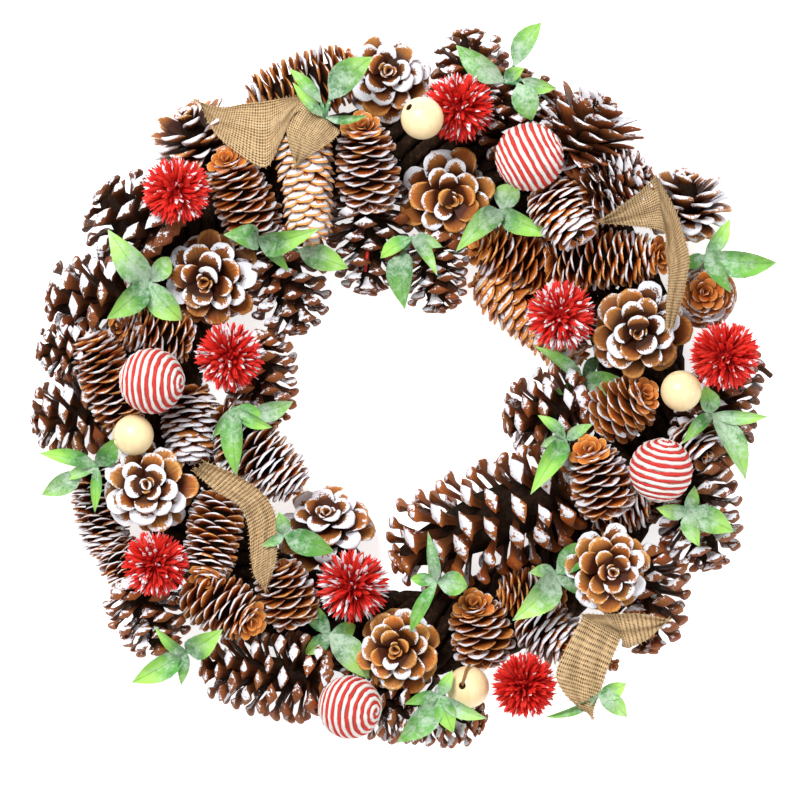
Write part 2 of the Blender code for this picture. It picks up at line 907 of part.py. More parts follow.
def burlap(edges, others):
    """A strip laid over what is under it, stretched between its high points."""
    points = []
    for left, right in edges:
        start, end = at(left), at(right)
        points.append([start.lerp(end, i / (BURLAP_ACROSS - 1)) for i in range(BURLAP_ACROSS)])
    flat = [p for row in points for p in row]
    heights = {i: top_of(others, p.x, p.y, BURLAP_PATCH) for i, p in enumerate(flat)}
    for i, p in enumerate(flat):
        p.z = max(heights[j] - BURLAP_SLACK * (p.xy - q.xy).length for j, q in enumerate(flat))
    bm = bmesh.new()
    rows = [[bm.verts.new(p) for p in row] for row in points]
    for row, after in zip(rows, rows[1:]):
        for i in range(BURLAP_ACROSS - 1):
            bm.faces.new((row[i], row[i + 1], after[i + 1], after[i]))
    return bm


def thickened(bm, name, collection, thickness):
    """A closed sheet from an open one."""
    thing = new_object(name, bm, collection, "burlap")
    shell = thing.modifiers.new("Thickness", "SOLIDIFY")
    shell.thickness = thickness
    shell.offset = 1
    bpy.context.view_layer.update()
    graph = bpy.context.evaluated_depsgraph_get()
    mesh = bpy.data.meshes.new_from_object(thing.evaluated_get(graph))
    bpy.data.objects.remove(thing, do_unlink=True)
    solid = bmesh.new()
    solid.from_mesh(mesh)
    bpy.data.meshes.remove(mesh)
    return solid


def lift_clear(bm, others):
    """Moves a piece straight up, a step at a time, until it crosses nothing."""
    shell = shell_of(bm)
    height = 0.0
    while any(other.tree.overlap(shell.raised(height).tree) for other in near(shell, others)):
        height += GAP
    bm.transform(Matrix.Translation((0, 0, height + GAP)))
    return bm


def place_cones(placed):
    """Every cone set down in the order of its layer. Returns each bunch's shells."""
    order = []
    for name, cones in CONES.items():
        for cone in cones:
            order.append((cone[0], len(order), name, cone[1:]))
    bunches = {name: [] for name in CONES}
    for _, number, name, cone in sorted(order):
        bm = lying_cone(number, *cone)
        shell = shell_of(bm, cone_axis(*cone[1:4]))
        bm.free()
        others = [s for other, shells in bunches.items() if other != name for s in shells]
        others = near(shell, others + placed)
        bunches[name].append(settled(shell, others, near(shell, bunches[name])))
    return bunches


def centre(collection):
    """Moves the middle of the whole wreath over the origin."""
    points = [vert.co for thing in collection.objects for vert in thing.data.vertices]
    middle = [(min(p[i] for p in points) + max(p[i] for p in points)) / 2 for i in range(2)]
    for thing in collection.objects:
        thing.data.transform(Matrix.Translation((-middle[0], -middle[1], 0)))


def build():
    clear_scene()
    wreath = bpy.data.collections.new("wreath")
    bpy.context.scene.collection.children.link(wreath)

    ring = vine_ring()
    placed = [shell_of(ring)]
    new_object("vine_ring", ring, wreath, "vine")

    bunches = place_cones(placed)
    cones = [shell for shells in bunches.values() for shell in shells]
    wires = []
    for name, shells in bunches.items():
        others = [cone for cone in cones if cone not in shells] + placed + wires
        pieces = [bmesh_of(shell) for shell in shells]
        for wire in ties(shells, others):
            wires.append(shell_of(wire))
            pieces.append(wire)
        finish = CONE_KINDS[CONES[name][0][1]][1]
        join(name, pieces, wreath, finish)
    placed += cones + wires

    rounds = [(POMPOMS, pompom, "pompom"), (TWINE_BALLS, twine_ball, "twine"), (BEADS, bead, "bead")]
    for table, maker, finish in rounds:
        for name, values in table.items():
            bm = round_piece(maker, *values)
            shell = shell_of(bm)
            bm.free()
            rest = settled(shell, near(shell, placed), [])
            new_object(name, bmesh_of(rest), wreath, finish)
            placed.append(rest)

    for name, edges in BURLAP.items():
        sheet = burlap(edges, placed)
        solid = lift_clear(thickened(sheet, name, wreath, BURLAP_THICKNESS), placed)
        placed.append(shell_of(solid))
        new_object(name, solid, wreath, "burlap")

    for name, (foot, leaves) in SPRIGS.items():
        pieces = sprig(foot, leaves, placed)
        placed += [shell_of(piece) for piece in pieces]
        join(name, pieces, wreath, "leaf")

    centre(wreath)


build()
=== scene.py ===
# The dressed wreath: fine cones, pompoms, twine balls, beads, leaf sprigs, burlap and vines.
# Metres, +Z up, with the wreath lying on its back and its front facing up.

import math
import random

import bmesh
import bpy
from mathutils import Matrix, Vector, noise
from mathutils.bvhtree import BVHTree


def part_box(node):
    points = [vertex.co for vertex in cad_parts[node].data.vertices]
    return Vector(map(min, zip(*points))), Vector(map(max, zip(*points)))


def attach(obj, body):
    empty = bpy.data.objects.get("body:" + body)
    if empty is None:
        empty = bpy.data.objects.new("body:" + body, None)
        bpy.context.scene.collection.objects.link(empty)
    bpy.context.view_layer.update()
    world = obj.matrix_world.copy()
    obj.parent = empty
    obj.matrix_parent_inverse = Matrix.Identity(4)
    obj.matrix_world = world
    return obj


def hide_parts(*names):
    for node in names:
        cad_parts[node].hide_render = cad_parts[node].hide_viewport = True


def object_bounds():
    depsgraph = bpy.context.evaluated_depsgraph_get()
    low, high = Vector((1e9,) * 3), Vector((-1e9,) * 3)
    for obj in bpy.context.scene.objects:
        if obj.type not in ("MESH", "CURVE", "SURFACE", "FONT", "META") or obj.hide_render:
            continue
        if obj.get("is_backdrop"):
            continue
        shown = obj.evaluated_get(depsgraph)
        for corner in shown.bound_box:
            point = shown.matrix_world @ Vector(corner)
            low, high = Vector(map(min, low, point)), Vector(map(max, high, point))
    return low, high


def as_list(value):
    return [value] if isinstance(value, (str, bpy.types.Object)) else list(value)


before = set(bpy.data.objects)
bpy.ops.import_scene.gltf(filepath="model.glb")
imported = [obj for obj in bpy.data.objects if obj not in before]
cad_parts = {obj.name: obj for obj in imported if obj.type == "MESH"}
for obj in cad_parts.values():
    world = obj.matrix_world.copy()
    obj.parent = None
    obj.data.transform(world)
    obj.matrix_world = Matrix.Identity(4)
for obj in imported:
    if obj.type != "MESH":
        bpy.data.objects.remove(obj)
CAD_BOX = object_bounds()

MM = 0.001
PIXEL = 0.48 * MM
RING_MIDDLE = (400, 392)  # pixels
PICTURE_MIDDLE = (400, 400)  # pixels
PICTURE_WIDTH = 800  # pixels
GOLDEN_ANGLE = math.radians(137.508)
LEAF_SHARES = (1.0, 0.92, 0.84, 0.76, 0.68, 0.6)
NEAR_FOOT = 14  # pixels
OVER = 0.1 * MM  # how far a point may be from the place that it lies over
LOWEST = 0.3 * MM  # the least height of any point
SPARE = 0.1 * MM  # what is left free inside the CAD's box
DOWN = Vector((0, 0, -1))
UP = Vector((0, 0, 1))

# A cone is: kind, base and apex in pixels, rise and diameter in mm, tone from dark to pale, frost.
# A small cone's thin scales stand open round a curled crown, and a bare one shows no crown. A closed
# one is shingled, and a broad one has wide half-open scales.
CONES = {
    "cones_outer_top": [
        ("pine", (474, 114), (470, 25), 3, 46, 0.45, 0.62),
        ("pine", (524, 156), (518, 66), 2, 46, 0.35, 0.45),
        ("spoon", (566, 168), (604, 92), 4, 58, 0.6, 0.85),
        ("spoon", (584, 200), (654, 172), 3, 36, 0.6, 0.75),
    ],
    "cones_outer_right": [
        ("bun", (684, 228), (690, 170), 10, 45, 0.6, 0.62),
        ("small", (706, 296), (706, 292), 36, 33, 0.43, 0.33),
        ("pine", (704, 462), (742, 334), 4, 43, 0.3, 0.55),
        ("broad", (684, 432), (710, 460), 9, 30, 0.7, 0.65),
        ("pine", (684, 468), (714, 572), 5, 50, 0.4, 0.7),
        ("pine", (640, 552), (650, 656), 3, 49, 0.5, 0.6),
    ],
    "cones_outer_left": [
        ("pine", (150, 296), (42, 302), 2, 55, 0.35, 0.62),
        ("pine", (98, 348), (34, 352), 2, 34, 0.35, 0.6),
        ("pine", (100, 408), (28, 425), 2, 46, 0.45, 0.65),
        ("bare", (126, 424), (88, 330), 4, 31, 0.95, 0.55),
        ("small", (192, 342), (118, 322), 3, 29, 0.93, 0.5),
    ],
    "cones_outer_bottom": [
        ("bare", (92, 462), (106, 560), 2, 30, 0.73, 0.63),
        ("bare", (108, 538), (142, 604), 4, 25, 0.78, 0.53),
        ("pine", (136, 582), (164, 656), 3, 43, 0.6, 0.5),
        ("pine", (325, 680), (198, 668), 3, 47, 0.45, 0.5),
        ("pine", (342, 694), (488, 724), 2, 42, 0.5, 0.6),
    ],
    "cones_inner_top": [
        ("pine", (276, 232), (298, 336), 2, 47, 0.35, 0.62),
        ("pine", (370, 182), (368, 296), 2, 46, 0.35, 0.66),
        ("pine", (432, 238), (438, 314), 2, 38, 0.5, 0.6),
    ],
    "cones_inner_left": [
        ("pine", (250, 338), (270, 430), 4, 42, 0.55, 0.55),
        ("bare", (212, 414), (302, 494), 2, 34, 0.68, 0.58),
        ("broad", (186, 386), (192, 466), 3, 31, 0.55, 0.6),
    ],
    "cones_inner_right": [
        ("pine", (584, 406), (502, 424), 3, 50, 0.5, 0.55),
        ("bare", (590, 508), (652, 500), 2, 33, 0.78, 0.53),
        ("small", (612, 514), (588, 446), 7, 33, 0.93, 0.63),
        ("small", (598, 424), (648, 392), 9, 33, 0.88, 0.48),
    ],
    "pine_cone_long": [
        ("long", (574, 482), (389, 564), 2, 59, 0.85, 0.62),
    ],
    "cones_upper_left": [
        ("pine", (158, 242), (98, 188), 3, 57, 0.25, 0.55),
        ("bun", (208, 164), (182, 108), 12, 46, 0.6, 0.5),
        ("small", (260, 240), (226, 156), 8, 32, 0.93, 0.53),
    ],
    "cones_top": [
        ("bare", (356, 67), (244, 105), 3, 35, 0.48, 0.15),
        ("rosette", (386, 80), (388, 68), 26, 48, 0.68, 0.53),
        ("small", (372, 210), (362, 122), 9, 33, 0.73, 0.63),
        ("closed", (302, 118), (311, 247), 3, 31, 0.95, 0.95),
    ],
    "cones_inner_upper_right": [
        ("closed", (484, 268), (586, 362), 2, 36, 0.75, 0.35),
        ("small", (552, 270), (476, 242), 5, 33, 0.98, 0.23),
        ("small", (546, 260), (664, 257), 3, 32, 0.88, 0.33),
        ("broad", (544, 188), (584, 244), 7, 32, 0.85, 0.6),
    ],
    "cones_lower_left": [
        ("small", (188, 584), (254, 624), 7, 33, 0.83, 0.48),
        ("small", (220, 494), (205, 582), 7, 30, 0.83, 0.58),
        ("bare", (298, 624), (274, 562), 6, 31, 0.78, 0.53),
        ("rosette", (328, 542), (325, 506), 22, 52, 0.68, 0.58),
    ],
    "cones_lower_right": [
        ("bare", (566, 592), (496, 594), 2, 27, 0.88, 0.33),
        ("broad", (526, 614), (576, 652), 6, 32, 0.5, 0.55),
        ("small", (488, 664), (474, 600), 9, 33, 0.78, 0.43),
    ],
    "rosette_cone_top": [("rosette", (446, 192), (454, 202), 30, 51, 0.73, 0.38)],
    "rosette_cone_left": [("rosette", (215, 277), (202, 284), 28, 52, 0.43, 0.34)],
    "rosette_cone_right": [("rosette", (640, 330), (638, 334), 29, 51, 0.4, 0.42)],
    "rosette_cone_lower_left": [("rosette", (150, 490), (146, 484), 29, 50, 0.73, 0.52)],
    "rosette_cone_bottom": [("rosette", (402, 650), (394, 650), 26, 45, 0.83, 0.28)],
    "rosette_cone_lower_right": [("rosette", (605, 568), (613, 571), 27, 46, 0.78, 0.38)],
}

# A pompom has its share of flecks, and a wound ball or a bead the direction of its pole.
POMPOMS = {
    "pompom_upper_left": 0.4, "pompom_top": 0.4, "pompom_left": 0.5, "pompom_inner_right": 0.55,
    "pompom_right": 0.35, "pompom_lower_left": 0.5, "pompom_inner_bottom": 0.65, "pompom_bottom": 0.25,
}
TWINE_BALLS = {
    "twine_ball_left": (0.92, -0.02, 0.36), "twine_ball_top": (0.85, 0.5, 0.1),
    "twine_ball_right": (0.12, 0.95, 0.3), "twine_ball_bottom": (0.85, -0.12, 0.5),
}
BEADS = {
    "bead_left": (0.9, 0.3, -0.25), "bead_top": (-0.62, 0.5, 0.6), "bead_right": (0.3, -0.9, -0.3),
    "bead_bottom": (-0.28, 0.1, 0.95),
}

# A burlap strip is what it lies on, whether its strongest lines run along it, and rows of four numbers:
# a point on each of its two edges, in pixels.
BURLAP = {
    "burlap_top_left": (["cones_upper_left", "cones_top"], True, [
        (199, 101, 201, 106), (222, 106, 213, 132), (244, 102, 236, 154), (266, 99, 266, 170),
        (286, 97, 282, 142), (298, 97, 300, 112), (302, 98, 338, 130), (292, 112, 336, 140),
        (286, 134, 322, 150), (294, 162, 300, 164),
    ]),
    "burlap_right": (["cones_inner_upper_right", "cones_outer_right", "rosette_cone_right"], True, [
        (603, 218, 604, 224), (622, 204, 630, 227), (640, 190, 652, 230), (654, 176, 664, 234),
        (657, 178, 666, 240), (674, 206, 666, 246), (684, 234, 665, 254), (690, 258, 667, 268),
        (686, 284, 667, 284), (680, 306, 665, 304), (673, 326, 664, 325),
    ]),
    "burlap_lower_left": (["cones_inner_left", "cones_lower_left"], False, [
        (206, 461, 196, 474), (236, 474, 216, 492), (262, 492, 240, 508), (276, 514, 248, 532),
        (278, 540, 250, 558), (276, 562, 254, 576), (268, 586, 264, 588),
    ]),
    "burlap_lower_right": (["cones_lower_right", "cones_outer_right"], False, [
        (666, 618, 663, 623), (640, 612, 646, 640), (616, 612, 627, 648), (600, 613, 623, 640),
        (583, 613, 622, 634), (579, 619, 620, 642), (563, 650, 609, 668), (554, 674, 602, 690),
        (566, 696, 595, 706), (588, 713, 592, 714),
    ]),
}

# A sprig is its foot in pixels, then its leaves: base, tip and width in pixels.
SPRIGS = {
    "sprig_top_left": ((325, 118), [
        (330, 100, 372, 58, 30), (322, 104, 290, 70, 13), (326, 118, 293, 84, 11),
        (328, 120, 368, 117, 9),
    ]),
    "sprig_top": ((504, 82), [
        (500, 80, 456, 46, 24), (514, 66, 541, 22, 22), (518, 84, 532, 121, 26),
        (522, 80, 556, 89, 16), (506, 84, 524, 68, 14),
    ]),
    "sprig_left": ((148, 282), [
        (146, 280, 110, 232, 30), (152, 280, 170, 257, 20), (146, 286, 109, 319, 26),
        (152, 286, 182, 321, 28), (146, 284, 130, 284, 10),
    ]),
    "sprig_upper_left_inner": ((259, 243), [
        (255, 244, 226, 235, 25), (264, 243, 318, 231, 24), (262, 247, 289, 271, 12),
        (298, 250, 348, 268, 25),
    ]),
    "sprig_inner_top": ((412, 238), [
        (408, 240, 380, 258, 16), (404, 252, 404, 308, 27), (416, 242, 437, 275, 14),
        (418, 238, 442, 247, 14),
    ]),
    "sprig_top_inner": ((502, 210), [
        (498, 214, 457, 250, 24), (506, 208, 516, 182, 26), (508, 212, 553, 236, 22),
    ]),
    "sprig_right_edge": ((706, 256), [
        (708, 252, 731, 219, 16), (716, 258, 778, 263, 27), (708, 262, 731, 292, 16),
        (700, 258, 680, 264, 15),
    ]),
    "sprig_inner_right": ((584, 384), [
        (580, 376, 536, 346, 14), (580, 388, 558, 404, 18), (588, 386, 625, 380, 26),
        (586, 394, 568, 443, 27), (586, 378, 600, 356, 13),
    ]),
    "sprig_inner_right_low": ((566, 440), [
        (564, 437, 538, 415, 12), (565, 443, 531, 492, 22), (562, 441, 541, 446, 12),
        (568, 438, 592, 424, 12),
    ]),
    "sprig_right": ((712, 414), [
        (710, 410, 704, 386, 20), (716, 412, 767, 417, 14), (718, 424, 746, 478, 24),
        (708, 418, 682, 443, 14),
    ]),
    "sprig_lower_right_edge": ((687, 511), [
        (692, 512, 733, 531, 26), (688, 516, 698, 546, 18), (688, 507, 694, 486, 14),
        (683, 511, 656, 508, 16),
    ]),
    "sprig_lower_right": ((556, 573), [
        (560, 570, 600, 544, 26), (560, 576, 593, 596, 24), (552, 578, 514, 619, 31),
        (553, 571, 529, 572, 14),
    ]),
    "sprig_inner_left": ((234, 408), [
        (230, 410, 213, 437, 12), (236, 408, 264, 420, 18), (250, 414, 293, 402, 20),
        (240, 412, 272, 428, 14), (236, 414, 236, 475, 22),
    ]),
    "sprig_left_edge": ((97, 466), [
        (98, 462, 116, 438, 21), (92, 463, 40, 453, 16), (92, 467, 63, 480, 12),
        (82, 474, 42, 495, 21), (97, 470, 95, 512, 11),
    ]),
    "sprig_lower_left": ((186, 652), [
        (182, 652, 132, 683, 24), (188, 650, 222, 630, 25), (184, 648, 155, 627, 12),
        (186, 656, 181, 685, 11),
    ]),
    "sprig_bottom_left": ((330, 635), [
        (328, 631, 301, 598, 18), (334, 632, 356, 626, 17), (326, 638, 304, 655, 17),
        (334, 638, 369, 679, 29),
    ]),
    "sprig_inner_bottom": ((437, 581), [
        (437, 577, 428, 532, 12), (433, 581, 410, 578, 13), (441, 582, 468, 586, 24),
        (435, 585, 410, 632, 14),
    ]),
    "sprig_bottom": ((440, 695), [
        (436, 698, 398, 742, 27), (442, 699, 453, 732, 20), (445, 697, 486, 718, 16),
        (436, 694, 405, 703, 13), (441, 691, 452, 670, 13),
    ]),
    "sprig_lower_right_tip": ((598, 695), [
        (598, 692, 626, 683, 17), (598, 700, 627, 716, 19), (594, 693, 545, 717, 9),
    ]),
    "sprig_inner_lower_left": ((284, 535), [
        (288, 536, 334, 552, 25), (281, 533, 279, 512, 15), (282, 538, 262, 546, 10),
    ]),
}


# Places in the frame.


def middle_of(node):
    low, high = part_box(node)
    return (low + high) / 2


def on_drawing(pixel):
    return Vector(((pixel[0] - RING_MIDDLE[0]) * PIXEL, (RING_MIDDLE[1] - pixel[1]) * PIXEL, 0))


# One pompom's pixel is known, and its node's box gives where the drawing lies in the frame.
SHIFT = middle_of("pompom_top") - on_drawing((459, 108))
SHIFT.z = 0


def at(pixel, height=0.0):
    """The point of the wreath that a pixel of the drawing shows."""
    return on_drawing(pixel) + SHIFT + Vector((0, 0, height))


def radius_of(node):
    """The radius of a ball, from its node's box."""
    low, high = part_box(node)
    return (high - low).length / math.sqrt(3) / 2


def tree_of(mesh):
    points = [vert.co.copy() for vert in mesh.vertices]
    return points, BVHTree.FromPolygons(points, [face.vertices[:] for face in mesh.polygons])


def first_below(tree, place, height):
    """The height where a line straight down from a height first meets a surface, if it does."""
    hit = tree.ray_cast(Vector((place.x, place.y, height)), DOWN)[0]
    return hit.z if hit else None


class Solid:
    """A CAD node's points and surface, for telling how high its pieces lie."""

    def __init__(self, node):
        self.points, self.tree = tree_of(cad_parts[node].data)

    def over(self, place, reach=OVER):
        """The node's highest point over a place, if it has one there."""
        found = [p for p in self.points if (p.xy - place.xy).length < reach]
        return max(found, key=lambda p: p.z) if found else None

    def top(self, place):
        return first_below(self.tree, place, 1)


# Modelling by hand.


def deselect():
    bpy.ops.object.select_all(action="DESELECT")


def select_points(thing, test):
    """In edit mode, selects the points whose place passes a test."""
    bpy.context.tool_settings.mesh_select_mode = (True, False, False)
    bm = bmesh.from_edit_mesh(thing.data)
    for vert in bm.verts:
        vert.select = test(vert.co)
    bm.select_flush_mode()
    bmesh.update_edit_mesh(thing.data)


NEAR_SECTION = 1e-4  # how far from a section its own points may lie
CUPPED = (0.5, 0.9)  # the shares of a half width past which the sides are raised, once for each


def drawn_out(name, sides, sections, cup, material, crease=60, pinch=1.0):
    """A closed shape: a ring of sides extruded along X from each section to the next.

    A section is its place along the shape, width, thickness and lift. The cup raises its sides, and
    a pinch below 1 draws the ring in between its sides and its top, towards a diamond.
    """
    deselect()
    bpy.ops.mesh.primitive_circle_add(
        vertices=sides, radius=0.5, fill_type="NGON", rotation=(0, math.pi / 2, 0)
    )
    thing = bpy.context.object
    thing.name = name
    bpy.ops.object.transform_apply(rotation=True)
    bpy.ops.object.mode_set(mode="EDIT")
    select_points(thing, lambda p: abs(p.y) > 0.1 and abs(p.z) > 0.1)
    bpy.ops.transform.resize(value=(1, pinch, pinch), center_override=(0, 0, 0))
    bpy.ops.mesh.select_all(action="SELECT")
    before = (0, 1, 1, 0)
    for number, section in enumerate(sections):
        step = (section[0] - before[0], 0, section[3] - before[3])
        if number:
            bpy.ops.mesh.extrude_region_move(TRANSFORM_OT_translate={"value": step})
        else:
            bpy.ops.transform.translate(value=step)
        bpy.ops.transform.resize(
            value=(1, section[1] / before[1], section[2] / before[2]),
            center_override=(section[0], 0, section[3]),
        )
        before = section
    for along, width, _, _ in sections:
        for share in CUPPED:
            far_out = share * width / 2
            select_points(thing, lambda p: abs(p.x - along) < NEAR_SECTION and abs(p.y) > far_out)
            bpy.ops.transform.translate(value=(0, 0, cup * width / 2))
    bpy.ops.mesh.select_all(action="SELECT")
    bpy.ops.mesh.normals_make_consistent(inside=False)
    bpy.ops.object.mode_set(mode="OBJECT")
    bpy.ops.object.shade_smooth_by_angle(angle=math.radians(crease))
    return kept_shape(thing, material)


def kept_shape(thing, material):
    """Marks each point with its place on the shape, for the materials, and puts the shape aside."""
    mesh = thing.data
    mesh.materials.clear()
    mesh.materials.append(material)
    place = mesh.attributes.new("place", "FLOAT_VECTOR", "POINT")
    place.data.foreach_set("vector", [c for vert in mesh.vertices for c in vert.co])
    mesh.attributes.new("look", "FLOAT_COLOR", "POINT")
    mesh.use_fake_user = True
    bpy.data.objects.remove(thing, do_unlink=True)
    return mesh


def from_columns(columns, root):
    """The matrix that takes X, Y and Z to three columns, at a root."""
    return Matrix([[c[i] for c in columns] + [root[i]] for i in range(3)] + [[0, 0, 0, 1]])


def copy_at(shape, matrix, look=(0, 0, 0, 0)):
    """A copy of a shape with its own mesh, put in its place, with its look on every point."""
    mesh = shape.copy()
    mesh.use_fake_user = False
    mesh.transform(matrix)
    mesh.attributes["look"].data.foreach_set("color", list(look) * len(mesh.vertices))
    thing = bpy.data.objects.new(shape.name, mesh)
    bpy.context.scene.collection.objects.link(thing)
    return thing


def joined(name, things):
    deselect()
    for thing in things:
        thing.select_set(True)
    bpy.context.view_layer.objects.active = things[0]
    if len(things) > 1:
        bpy.ops.object.join()
    piece = bpy.context.view_layer.objects.active
    piece.name = name
    piece.data.name = name
    return piece


def kept_inside(piece):
    """Flattens what would reach below the surface that the wreath lies on, or out of its box."""
    low, high = CAD_BOX
    for vert in piece.data.vertices:
        for axis in range(3):
            least = LOWEST if axis == 2 else low[axis] + SPARE
            vert.co[axis] = min(high[axis] - SPARE, max(least, vert.co[axis]))


def dressed(piece, node):
    """Keeps a finished piece inside the CAD's box, hangs it on its body and hides its CAD node."""
    kept_inside(piece)
    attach(piece, "root")
    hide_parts(node)
    return piece


WELD = 0.01 * MM


def tube(name, points, radii, material, cyclic=False, sides=1):
    """A cord, vine or stalk through its points, with a radius for each or one for all, made a mesh."""
    if isinstance(radii, float):
        radii = [radii] * len(points)
    curve = bpy.data.curves.new(name, "CURVE")
    curve.dimensions = "3D"
    curve.bevel_depth = 1.0
    curve.bevel_resolution = sides
    curve.use_fill_caps = not cyclic
    spline = curve.splines.new("POLY")
    spline.points.add(len(points) - 1)
    spline.use_cyclic_u = cyclic
    for point, place, radius in zip(spline.points, points, radii):
        point.co = (*place, 1)
        point.radius = radius
    thing = bpy.data.objects.new(name, curve)
    bpy.context.scene.collection.objects.link(thing)
    deselect()
    thing.select_set(True)
    bpy.context.view_layer.objects.active = thing
    bpy.ops.object.convert(target="MESH")
    thing = bpy.context.object
    bpy.ops.object.mode_set(mode="EDIT")
    bpy.ops.mesh.select_all(action="SELECT")
    bpy.ops.mesh.remove_doubles(threshold=WELD)
    bpy.ops.mesh.normals_make_consistent(inside=False)
    bpy.ops.object.mode_set(mode="OBJECT")
    bpy.ops.object.shade_smooth()
    thing.data.materials.append(material)
    return thing


# Materials.


class Nodes:
    """Adds and links the nodes of one material or group."""

    def __init__(self, tree, material=None):
        self.tree = tree
        self.material = material
        self.shader = tree.nodes.get("Principled BSDF")

    def feed(self, socket, value):
        if isinstance(value, bpy.types.NodeSocket):
            self.tree.links.new(value, socket)
        else:
            socket.default_value = value

    def add(self, kind, inputs=(), **settings):
        node = self.tree.nodes.new("ShaderNode" + kind)
        for name, value in settings.items():
            setattr(node, name, value)
        for socket, value in dict(inputs).items():
            self.feed(node.inputs[socket], value)
        return node

    def math(self, operation, *values):
        return self.add("Math", enumerate(values), operation=operation).outputs[0]

    def minus(self, value, other):
        return self.math("SUBTRACT", value, other)

    def times(self, value, other):
        return self.math("MULTIPLY", value, other)

    def times_plus(self, value, factor, more):
        return self.math("MULTIPLY_ADD", value, factor, more)

    def mix(self, factor, first, second, blend="MIX"):
        node = self.add("Mix", {0: factor, 6: first, 7: second}, data_type="RGBA", blend_type=blend)
        return node.outputs[2]

    def spread(self, value, low, high, to_low=0.0, to_high=1.0):
        """A value that runs smoothly from to_low to to_high as another goes from low to high."""
        node = self.add(
            "MapRange",
            {"Value": value, "From Min": low, "From Max": high, "To Min": to_low, "To Max": to_high},
            interpolation_type="SMOOTHSTEP",
        )
        return node.outputs[0]

    def ramp(self, factor, stops):
        node = self.add("ValToRGB", {"Fac": factor})
        elements = node.color_ramp.elements
        while len(elements) < len(stops):
            elements.new(0.5)
        for element, (place, colour) in zip(elements, stops):
            element.position = place
            element.color = (*colour, 1)
        return node.outputs["Color"]

    def noise(self, vector, scale, detail=2.0, roughness=0.5):
        inputs = {"Vector": vector, "Scale": scale, "Detail": detail, "Roughness": roughness}
        return self.add("TexNoise", inputs).outputs["Fac"]

    def stretched(self, vector, scale):
        inputs = {"Vector": vector, "Scale": scale}
        return self.add("Mapping", inputs).outputs[0]

    def place(self):
        """Where a point is on its shape: along, across and up."""
        return self.add("Attribute", attribute_name="place").outputs["Vector"]

    def parts(self, vector):
        return self.add("SeparateXYZ", {0: vector}).outputs

    def look(self):
        """The three values and the fourth one of a copy's look."""
        node = self.add("Attribute", attribute_name="look")
        split = self.add("SeparateColor", {0: node.outputs["Color"]})
        return (*split.outputs, node.outputs["Alpha"])

    def object_place(self):
        return self.add("TexCoord").outputs["Object"]

    def normal(self):
        return self.add("NewGeometry").outputs["Normal"]

    def finished(self, colour, height=None, strength=0.0, distance=0.0):
        """The material with its colour and, where a height is given, its bump fed to its shader."""
        self.feed(self.shader.inputs["Base Color"], colour)
        if height is not None:
            bump = self.add("Bump", {"Strength": strength, "Distance": distance, "Height": height})
            self.feed(self.shader.inputs["Normal"], bump.outputs[0])
        return self.material


def new_material(name, roughness=0.7, specular=0.3):
    """The nodes of a new material."""
    material = bpy.data.materials.new(name)
    material.use_nodes = True
    nodes = Nodes(material.node_tree, material)
    nodes.shader.inputs["Roughness"].default_value = roughness
    nodes.shader.inputs["Specular IOR Level"].default_value = specular
    return nodes


def grained(name, roughness, specular, grain, stops, strength=0.0, distance=0.0):
    """A material of one ramp over a noise, which is its scale, detail and roughness."""
    nodes = new_material(name, roughness, specular)
    speckle = nodes.noise(nodes.object_place(), *grain)
    return nodes.finished(nodes.ramp(speckle, stops), speckle if strength else None, strength, distance)


def new_group(name, inputs, outputs):
    """A group, its nodes, and the nodes of what it is given and what it gives."""
    tree = bpy.data.node_groups.new(name, "ShaderNodeTree")
    for label, default in inputs:
        kind = "NodeSocketVector" if isinstance(default, tuple) else "NodeSocketFloat"
        socket = tree.interface.new_socket(label, in_out="INPUT", socket_type=kind)
        socket.default_value = default
    for label in outputs:
        tree.interface.new_socket(label, in_out="OUTPUT", socket_type="NodeSocketFloat")
    nodes = Nodes(tree)
    return tree, nodes, tree.nodes.new("NodeGroupInput"), tree.nodes.new("NodeGroupOutput")


PAINTED_FROM = Vector((-0.52, 0.4, 0.75)).normalized()


def frost_group():
    """White paint dabbed on from the front, in patches with ragged edges.

    Edge is 1 at the edge of a shape's end. Rim is 1 where the paint lies on that edge, and 0 where it
    lies on the face behind a bare rim. Side is how much more the side towards the brush takes.
    """
    inputs = [("Edge", 0.0), ("Amount", 0.5), ("Rim", 1.0), ("Patch", 260.0), ("Rough", 1.0), ("Side", 0.2)]
    tree, nodes, given, out = new_group("frost", inputs, ["Mask", "Grain"])
    given = given.outputs
    place = nodes.object_place()
    patches = nodes.noise(place, given["Patch"], 4, 0.62)
    grain = nodes.noise(place, 1300, 3, 0.65)
    edge = given["Edge"]
    behind = nodes.times_plus(nodes.spread(edge, 0.8, 0.92), -1.3, nodes.math("ADD", edge, 0.22))
    bare_rim = nodes.minus(1.0, given["Rim"])
    level = nodes.times_plus(bare_rim, nodes.minus(behind, edge), edge)
    normal = nodes.normal()
    facing = nodes.add("VectorMath", {0: normal, 1: PAINTED_FROM}, operation="DOT_PRODUCT").outputs["Value"]
    shown = nodes.spread(nodes.parts(normal)[2], -0.55, -0.2)
    facing = nodes.math("MAXIMUM", facing, 0.0)
    for value, weight in (
        (patches, given["Rough"]), (grain, 0.7), (given["Amount"], 0.8), (facing, given["Side"])
    ):
        level = nodes.times_plus(nodes.minus(value, 0.5), weight, level)
    mask = nodes.times(nodes.spread(level, 0.84, 0.92), shown)
    nodes.tree.links.new(mask, out.inputs["Mask"])
    nodes.tree.links.new(grain, out.inputs["Grain"])
    return tree


FROST = frost_group()


def frosted(nodes, **values):
    group = nodes.add("Group", node_tree=FROST)
    for name, value in values.items():
        nodes.feed(group.inputs[name], value)
    return group.outputs["Mask"], group.outputs["Grain"]


